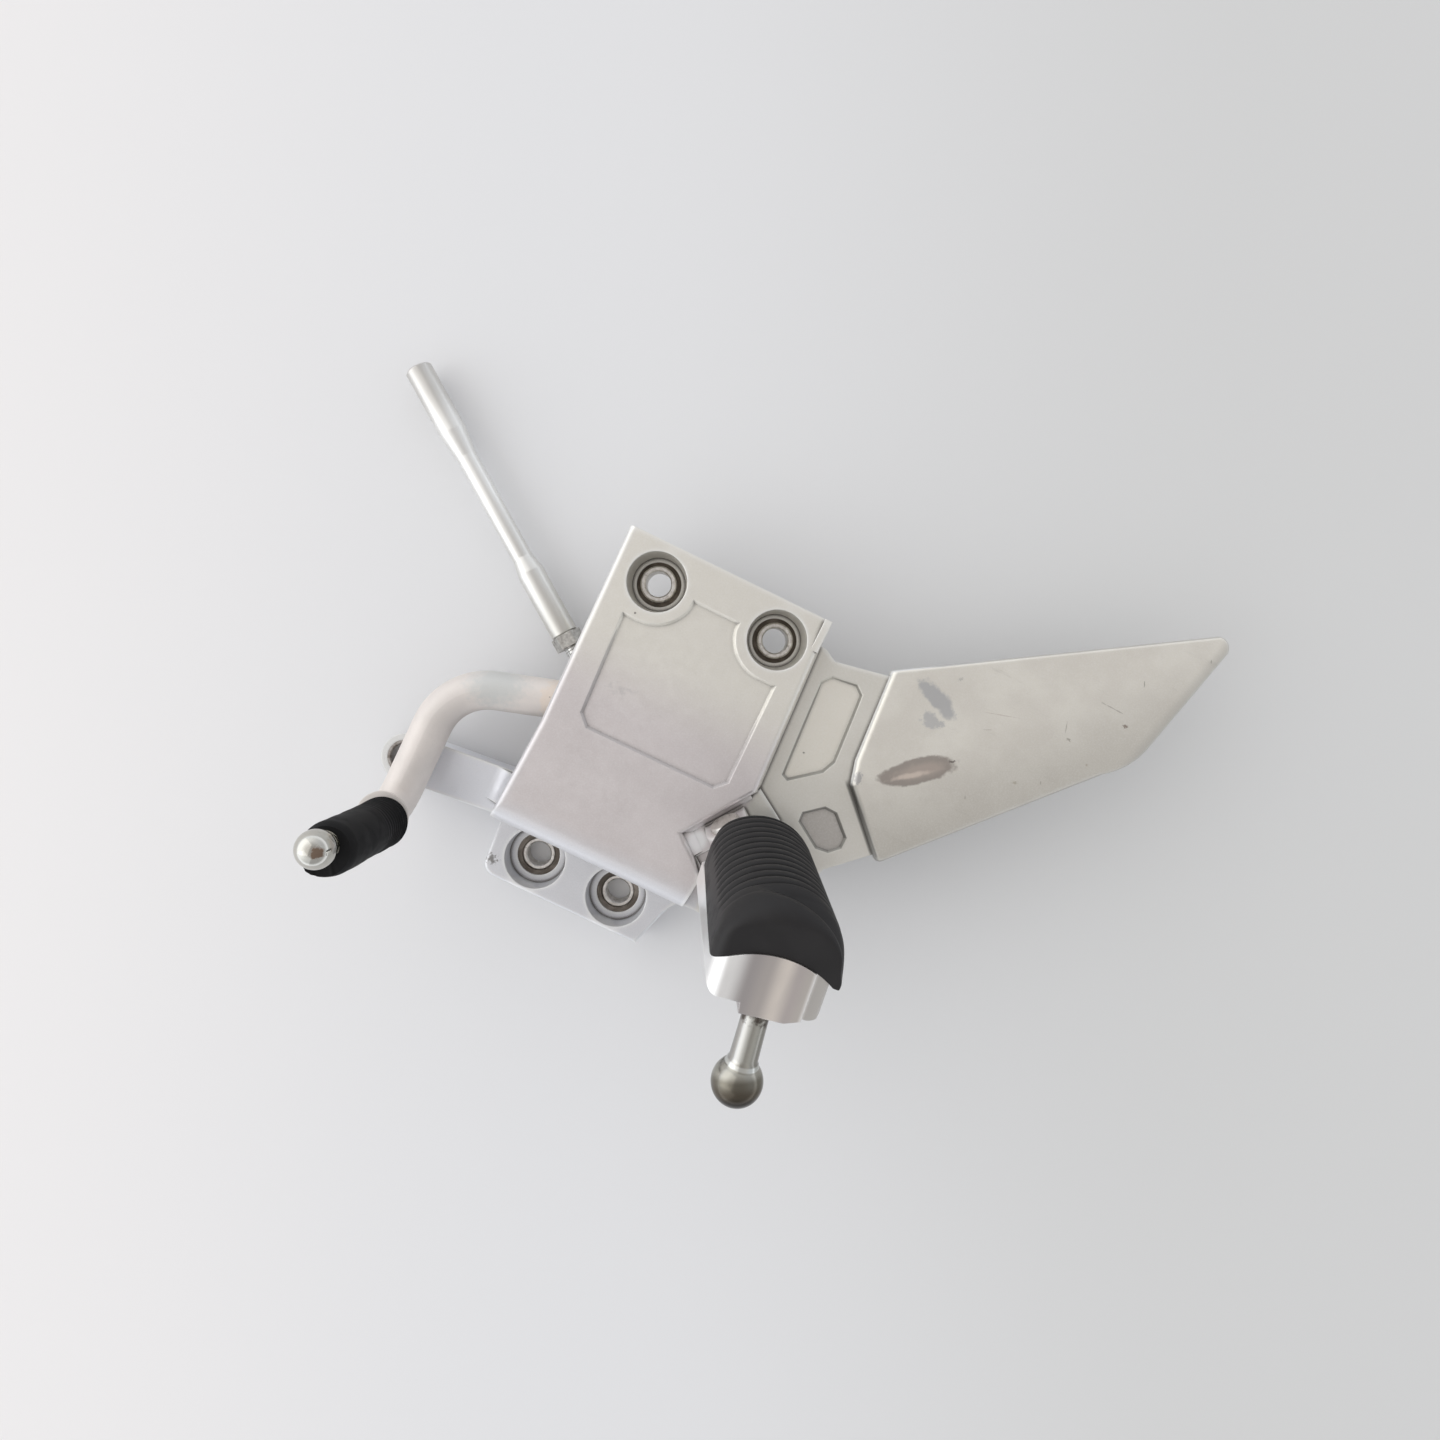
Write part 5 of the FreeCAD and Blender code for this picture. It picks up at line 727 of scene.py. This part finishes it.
def peg_cover(material):
    """Half-round rubber of the footpeg: flat left side, soft ribs across its top, smooth rounded outer end.

    Lengths are millimetres in the footpeg's frame, and angles are degrees about the dome from its right side.
    """
    # Ends along the footpeg, height of the dome's axis, its radius, and the lowest level of the skin
    start, stop = 8.8, 74.4
    axis, bulk, skirt = 3.0, 19.4, 0.6
    # Flat left side: its distance, how much it flares to the outer end, and the softness of its edge
    left, flare, softness = 16.9, 1.9, 1.3
    # Seat on the carrier's crown: its two sides, their level, and the crown's radius
    seat_left, seat_right, seat_level, crown = 17.4, 16.4, 0.8, 29.2
    # Rounded edge of the near end, and the flat side's corners at both ends
    near_round, near_corner, far_corner = 1.6, 3.2, 4.5
    # Ribs: first groove, pitch, depth, and the share of the pitch in which they begin
    first_groove, pitch, depth, lead = 11.0, 4.2, 1.7, 0.6
    # Angles and lengths between which they fade
    ribs_right, ribs_left, ribs_end = (14.0, 48.0), (164.0, 150.0), (68.0, 56.0)
    # Nose of the outer end: its length at the sides, what the top adds, and angles between which it does
    nose_sides, nose_top, nose_right, nose_left = 5.5, 6.5, (20.0, 80.0), (176.0, 140.0)
    # How far the nose falls, as a share of the radius, in the same order
    fall_sides, fall_top, fall_right, fall_left = 0.07, 0.31, (10.0, 85.0), (172.0, 120.0)
    # Valley behind the last rib: its place on the left, and how much further out it runs on the right
    valley_left, valley_lead, valley_turn = 63.5, 9.5, 125.0
    # Its depth and width, and angles between which it fades
    valley_depth, valley_width = 2.4, 2.5
    valley_begin, valley_end = (-6.0, 16.0), (134.0, 86.0)
    # Mesh: first angle and sweep, points across the skin, rings of a cap, and the seat's inset from the skin
    first_angle, sweep = 190.0, 198.0
    columns, cap_rings, seat_gap = 96, 8, 0.02
    # Levels along the footpeg: even in the middle, crowded in a zone at each end
    pace, end_zone = 0.27, 2.4
    near_levels, near_crowding = 12, 1.6
    far_levels, far_crowding = 24, 1.8
    middle_x = (seat_right - seat_left) / 2.0
    half_seat = (seat_left + seat_right) / 2.0
    seat_centre = seat_level - math.sqrt(crown ** 2 - half_seat ** 2)

    def seat_height(x):
        return seat_centre + math.sqrt(crown ** 2 - (x - middle_x) ** 2)

    def dome(z, angle):
        """Radius of the dome at this place, with its nose, ribs and valley."""
        nose = nose_sides + nose_top * ease(angle, *nose_right) * ease(angle, *nose_left)
        fall = fall_sides + fall_top * ease(angle, *fall_right) * ease(angle, *fall_left)
        reach = bulk - bulk * fall * rounding(stop - z, nose) / nose
        reach -= rounding(z - start, near_round)
        phase = (z - first_groove) / pitch
        groove = abs(2.0 * (phase - math.floor(phase)) - 1.0) ** 3
        ribbed = ease(z, first_groove - pitch * lead, first_groove) * ease(z, *ribs_end)
        reach -= depth * groove * ribbed * ease(angle, *ribs_left) * ease(angle, *ribs_right)
        valley = valley_left + valley_lead * (1.0 - min(max(angle, 0.0), valley_turn) / valley_turn)
        dip = math.exp(-((z - valley) / valley_width) ** 2)
        return reach - valley_depth * dip * ease(angle, *valley_end) * ease(angle, *valley_begin)

    def skin(z, angle):
        """Point of the outer skin, with the dome cut flat on its left."""
        reach = dome(z, angle)
        x = reach * math.cos(math.radians(angle))
        y = axis + reach * math.sin(math.radians(angle))
        wall = left + flare * (z - start) / (stop - start)
        wall -= rounding(z - start, near_corner) + rounding(stop - z, far_corner)
        x = softness * math.log1p(math.exp((x + wall) / softness)) - wall
        return Vector((x, max(y, skirt, seat_height(x) if x < 0.0 else skirt)))

    middle_levels = int((stop - start - 2.0 * end_zone) / pace)
    levels = [start + end_zone * (i / near_levels) ** near_crowding for i in range(near_levels)]
    levels += [start + end_zone + pace * i for i in range(middle_levels)]
    levels += [stop - end_zone * (1.0 - i / far_levels) ** far_crowding for i in range(far_levels + 1)]
    rings = []
    for z in levels:
        outer = [skin(z, first_angle - sweep * j / (columns - 1.0)) for j in range(columns)]
        inner_left = outer[0].x + seat_gap
        inner = []
        for j in range(columns):
            x = inner_left + (seat_right - inner_left) * j / (columns - 1.0)
            inner.append(Vector((x, seat_height(x))))
        rings.append((z, outer, inner))
    points = []
    for z, outer, inner in rings:
        points += [(p.x, p.y, z) for p in outer] + [(p.x, p.y, z) for p in reversed(inner)]
    faces = grid_faces(len(levels), columns * 2, True)
    for (z, outer, inner), flip in ((rings[0], True), (rings[-1], False)):
        first = len(points)
        for i in range(cap_rings + 1):
            cut = [a.lerp(b, i / cap_rings) for a, b in zip(outer, inner)]
            points += [(p.x, p.y, z) for p in cut]
        cap = grid_faces(cap_rings + 1, columns, False)
        faces += [tuple(first + k for k in (reversed(face) if flip else face)) for face in cap]
    cover = mesh_piece("peg_cover", [peg_place @ (Vector(p) * MM) for p in points], faces, material)
    close(cover)
    return cover


def feeler(material):
    """Turned feeler under the footpeg: slightly flared neck, small shoulder and ball."""
    # Neck: radius, flare, and length and number of its steps
    neck_radius, neck_flare, neck_pace, neck_steps = 3.9, 0.25, 0.8, 19
    # Shoulder as pairs of place and radius, and the radius at which the ball begins
    shoulder = [(15.8, 4.3), (16.3, 4.62), (16.8, 4.78)]
    joined_radius = 4.9
    # Mesh: steps along the ball and points around the feeler
    ball_steps, around = 40, 72
    length = (FEELER_FOOT - FEELER_BALL).length
    profile = [(0.0, 0.0), (0.0, neck_radius)]
    for i in range(1, neck_steps + 1):
        profile.append((neck_pace * i, neck_radius + neck_flare * (i / neck_steps) ** 2))
    profile += shoulder
    joined = math.asin(joined_radius / FEELER_RADIUS)
    for i in range(ball_steps + 1):
        turn = joined + (math.pi - joined) * i / ball_steps
        profile.append((length - FEELER_RADIUS * math.cos(turn), FEELER_RADIUS * math.sin(turn)))
    axis = (FEELER_BALL - FEELER_FOOT).normalized()
    side = axis.cross(UP).normalized()
    front = side.cross(axis)
    points = []
    for along, reach in profile:
        for j in range(around):
            turn = FULL_TURN * j / around
            out = side * math.cos(turn) + front * math.sin(turn)
            points.append(peg_place @ ((FEELER_FOOT + axis * along + out * reach) * MM))
    piece = mesh_piece("feeler", points, grid_faces(len(profile), around, True), material)
    close(piece)
    return piece


def rod_thread(material):
    """Fine thread on the bare stretch of the rod end's stud."""
    # Stretch from the ball's centre, pitch, radius of root and crest, and half widths of the ridge at both
    begin, end, pitch = 14.2 * MM, 23.6 * MM, 1.0 * MM
    root, crest = 2.7 * MM, 3.12 * MM
    half_root, half_crest = 0.48 * pitch, 0.06 * pitch
    section = ((root, -half_root), (crest, -half_crest), (crest, half_crest), (root, half_root))
    steps = 36
    total = int((end - begin) / pitch * steps)
    side = UP.cross(rod_axis).normalized()
    up = rod_axis.cross(side)
    points = []
    for i in range(total):
        turn = FULL_TURN * i / steps
        out = side * math.cos(turn) + up * math.sin(turn)
        base = begin + pitch * i / steps
        for reach, shift in section:
            points.append(rod_ball + rod_axis * (base + shift) + out * reach)
    corners = len(section)
    faces = grid_faces(total, corners, True)
    faces.append(tuple(reversed(range(corners))))
    faces.append(tuple(range((total - 1) * corners, total * corners)))
    return mesh_piece("rod_thread", points, faces, material)


def put(material, *names):
    """Gives CAD nodes a material."""
    for name in names:
        mesh = nodes[name].data
        mesh.materials.clear()
        mesh.materials.append(material)


# Materials of the solids
zinc = bright_metal("zinc_steel", (0.80, 0.80, 0.785), (0.66, 0.66, 0.645), 0.26)
grimy_zinc = bright_metal("grimy_zinc", (0.62, 0.61, 0.58), (0.42, 0.41, 0.39), 0.35, dirt=0.5)
collar_steel = bright_metal("collar_steel", (0.80, 0.78, 0.75), (0.60, 0.57, 0.53), 0.38, dirt=0.35)
stay_steel = bright_metal("stay_steel", (0.46, 0.44, 0.42), (0.26, 0.23, 0.21), 0.45, dirt=0.6)
pin_steel = bright_metal("pin_steel", (0.60, 0.58, 0.55), (0.48, 0.46, 0.43), 0.34, dirt=0.25)
spring_steel = bright_metal("spring_steel", (0.34, 0.34, 0.35), (0.20, 0.20, 0.21), 0.35, dirt=0.3)
bronze = bright_metal("bronze_bush", (0.62, 0.50, 0.30), (0.46, 0.36, 0.20), 0.35)
bush_rubber = rubber("bush_rubber", (0.13, 0.11, 0.09), (0.34, 0.30, 0.26), 0.8, 0.8)
put(cast_alloy(), "hanger_casting")
put(forged_alloy(), "pedal_arm")
put(carrier_alloy(), "peg_carrier")
put(chrome_cap(), "pedal_peg")
put(satin_zinc(), "rod_tube")
put(zinc, "rod_end", "joint_bolt", "joint_nut", "joint_spacer", "pivot_washer")
put(zinc, "rubber_screw_near", "rubber_screw_far")
put(grimy_zinc, "rod_locknut")
put(stay_steel, "stay_collar")
put(pin_steel, "clevis_pin", "pivot_shaft", "rod_ball")
put(spring_steel, "peg_spring", "pin_clip", "pivot_circlip")
put(bronze, "pedal_bush")
for row in ("lower", "upper"):
    for end in ("front", "rear"):
        put(collar_steel, "%s_%s_collar" % (row, end))
        put(bush_rubber, "%s_%s_bush" % (row, end))

# Rubber pieces, the feeler and the rod's thread
sleeve_rubber = rubber("sleeve_rubber", (0.005, 0.005, 0.0055), (0.02, 0.019, 0.019), 0.7, 0.3, shine=0.22)
cover_rubber = rubber("cover_rubber", (0.0155, 0.0145, 0.015), (0.033, 0.031, 0.031), 0.5, 0.3)
sleeve = pedal_sleeve(sleeve_rubber)
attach(sleeve, "shift_pedal")
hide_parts("pedal_rubber")
cover = peg_cover(cover_rubber)
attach(cover, "footpeg")
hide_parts("peg_rubber")
knob = feeler(feeler_steel())
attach(knob, "footpeg")
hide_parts("bank_feeler")
thread = rod_thread(grimy_zinc)
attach(thread, "shift_rod")


def table():
    """Plain pale table that the part lies on, with painted shade making it a little darker to the right, away
    from the window.
    """
    top = Shader("table")
    window_shade_tints = ((-260.0, (0.86, 0.845, 0.84)), (0.0, (0.79, 0.795, 0.805)), (260.0, (0.695, 0.70, 0.695)))
    cloud_tint = (0.80, 0.80, 0.82)
    half = 3.0
    cloud = top.spread(top.grain(420.0, detail=2.0), to_high=0.1)
    # Painted shade: the table darkens away from the window, towards the right
    colour = top.mix(cloud, top.ramp(top.lean(ORIGIN, RIGHT), window_shade_tints), cloud_tint)
    top.set(Base_Color=colour, Roughness=0.42)
    top.set(Specular_IOR_Level=0.25)
    level = cad_box[0].z
    points = [Vector((x * half, y * half, level)) for x, y in ((-1, -1), (1, -1), (1, 1), (-1, 1))]
    piece = mesh_piece("table", points, [(0, 1, 2, 3)], top.material)


def camera():
    """Camera that took the photograph."""
    data = bpy.data.cameras.new("camera")
    data.lens = CAMERA_LENS
    data.clip_start = CAMERA_NEAR
    item = bpy.data.objects.new("camera", data)
    back = RIGHT.cross(-FRONT)
    turn = Matrix((RIGHT, -FRONT, back)).transposed().to_4x4()
    item.matrix_world = Matrix.Translation(CAMERA_AT) @ turn
    scene.collection.objects.link(item)
    scene.camera = item


def lamp(name, towards, distance, size, power, colour):
    """Soft square lamp that looks at the middle of the part."""
    data = bpy.data.lights.new(name, "AREA")
    data.shape = "SQUARE"
    data.size = size
    data.energy = power
    data.color = colour
    item = bpy.data.objects.new(name, data)
    centre = (cad_box[0] + cad_box[1]) / 2.0
    item.location = centre + towards.normalized() * distance
    item.rotation_euler = (centre - item.location).to_track_quat("-Z", "Y").to_euler()
    scene.collection.objects.link(item)


def room():
    """World around the part: light on its left, pale near the floor, dim in front and overhead."""
    left_light, right_light = (1.55, 1.56, 1.58), (0.72, 0.735, 0.77)
    front_light, low_light, ceiling_light = (0.56, 0.56, 0.57), (1.30, 1.34, 1.42), (0.55, 0.53, 0.52)
    world = bpy.data.worlds.new("room")
    scene.world = world
    world.use_nodes = True
    tree = world.node_tree
    way = tree.nodes.new("ShaderNodeTexCoord").outputs["Generated"]

    def facing(direction, low, high):
        """Share of the sky that lies towards a direction, from 0 at low to 1 at high."""
        dot = tree.nodes.new("ShaderNodeVectorMath")
        dot.operation = "DOT_PRODUCT"
        dot.inputs[1].default_value = direction
        tree.links.new(way, dot.inputs[0])
        spread = tree.nodes.new("ShaderNodeMapRange")
        spread.interpolation_type = "SMOOTHSTEP"
        spread.inputs["From Min"].default_value = low
        spread.inputs["From Max"].default_value = high
        tree.links.new(dot.outputs["Value"], spread.inputs["Value"])
        return spread.outputs["Result"]

    def blend(share, first, second):
        node = tree.nodes.new("ShaderNodeMix")
        node.data_type = "RGBA"
        tree.links.new(share, node.inputs[0])
        for socket, colour in ((node.inputs[6], first), (node.inputs[7], second)):
            if isinstance(colour, bpy.types.NodeSocket):
                tree.links.new(colour, socket)
            else:
                socket.default_value = (*colour, 1.0)
        return node.outputs[2]

    sides = blend(facing(-RIGHT, -0.9, 0.9), right_light, left_light)
    sides = blend(facing(FRONT, 0.2, 0.95), sides, front_light)
    sides = blend(facing(UP, 0.06, 0.34), low_light, sides)
    sky = blend(facing(UP, 0.45, 0.97), sides, ceiling_light)
    tree.links.new(sky, tree.nodes["Background"].inputs["Color"])
    tree.nodes["Background"].inputs["Strength"].default_value = 1.0


table()
camera()
lamp("window", UP * 0.9 - RIGHT - FRONT * 0.35,
     distance=1.3, size=1.8, power=5.0, colour=(1.0, 0.98, 0.95))
lamp("low_wall", UP * 0.5 + FRONT * 0.6 - RIGHT * 0.8,
     distance=1.3, size=1.4, power=2.2, colour=(0.90, 0.95, 1.0))
room()
scene.view_settings.view_transform = "Standard"
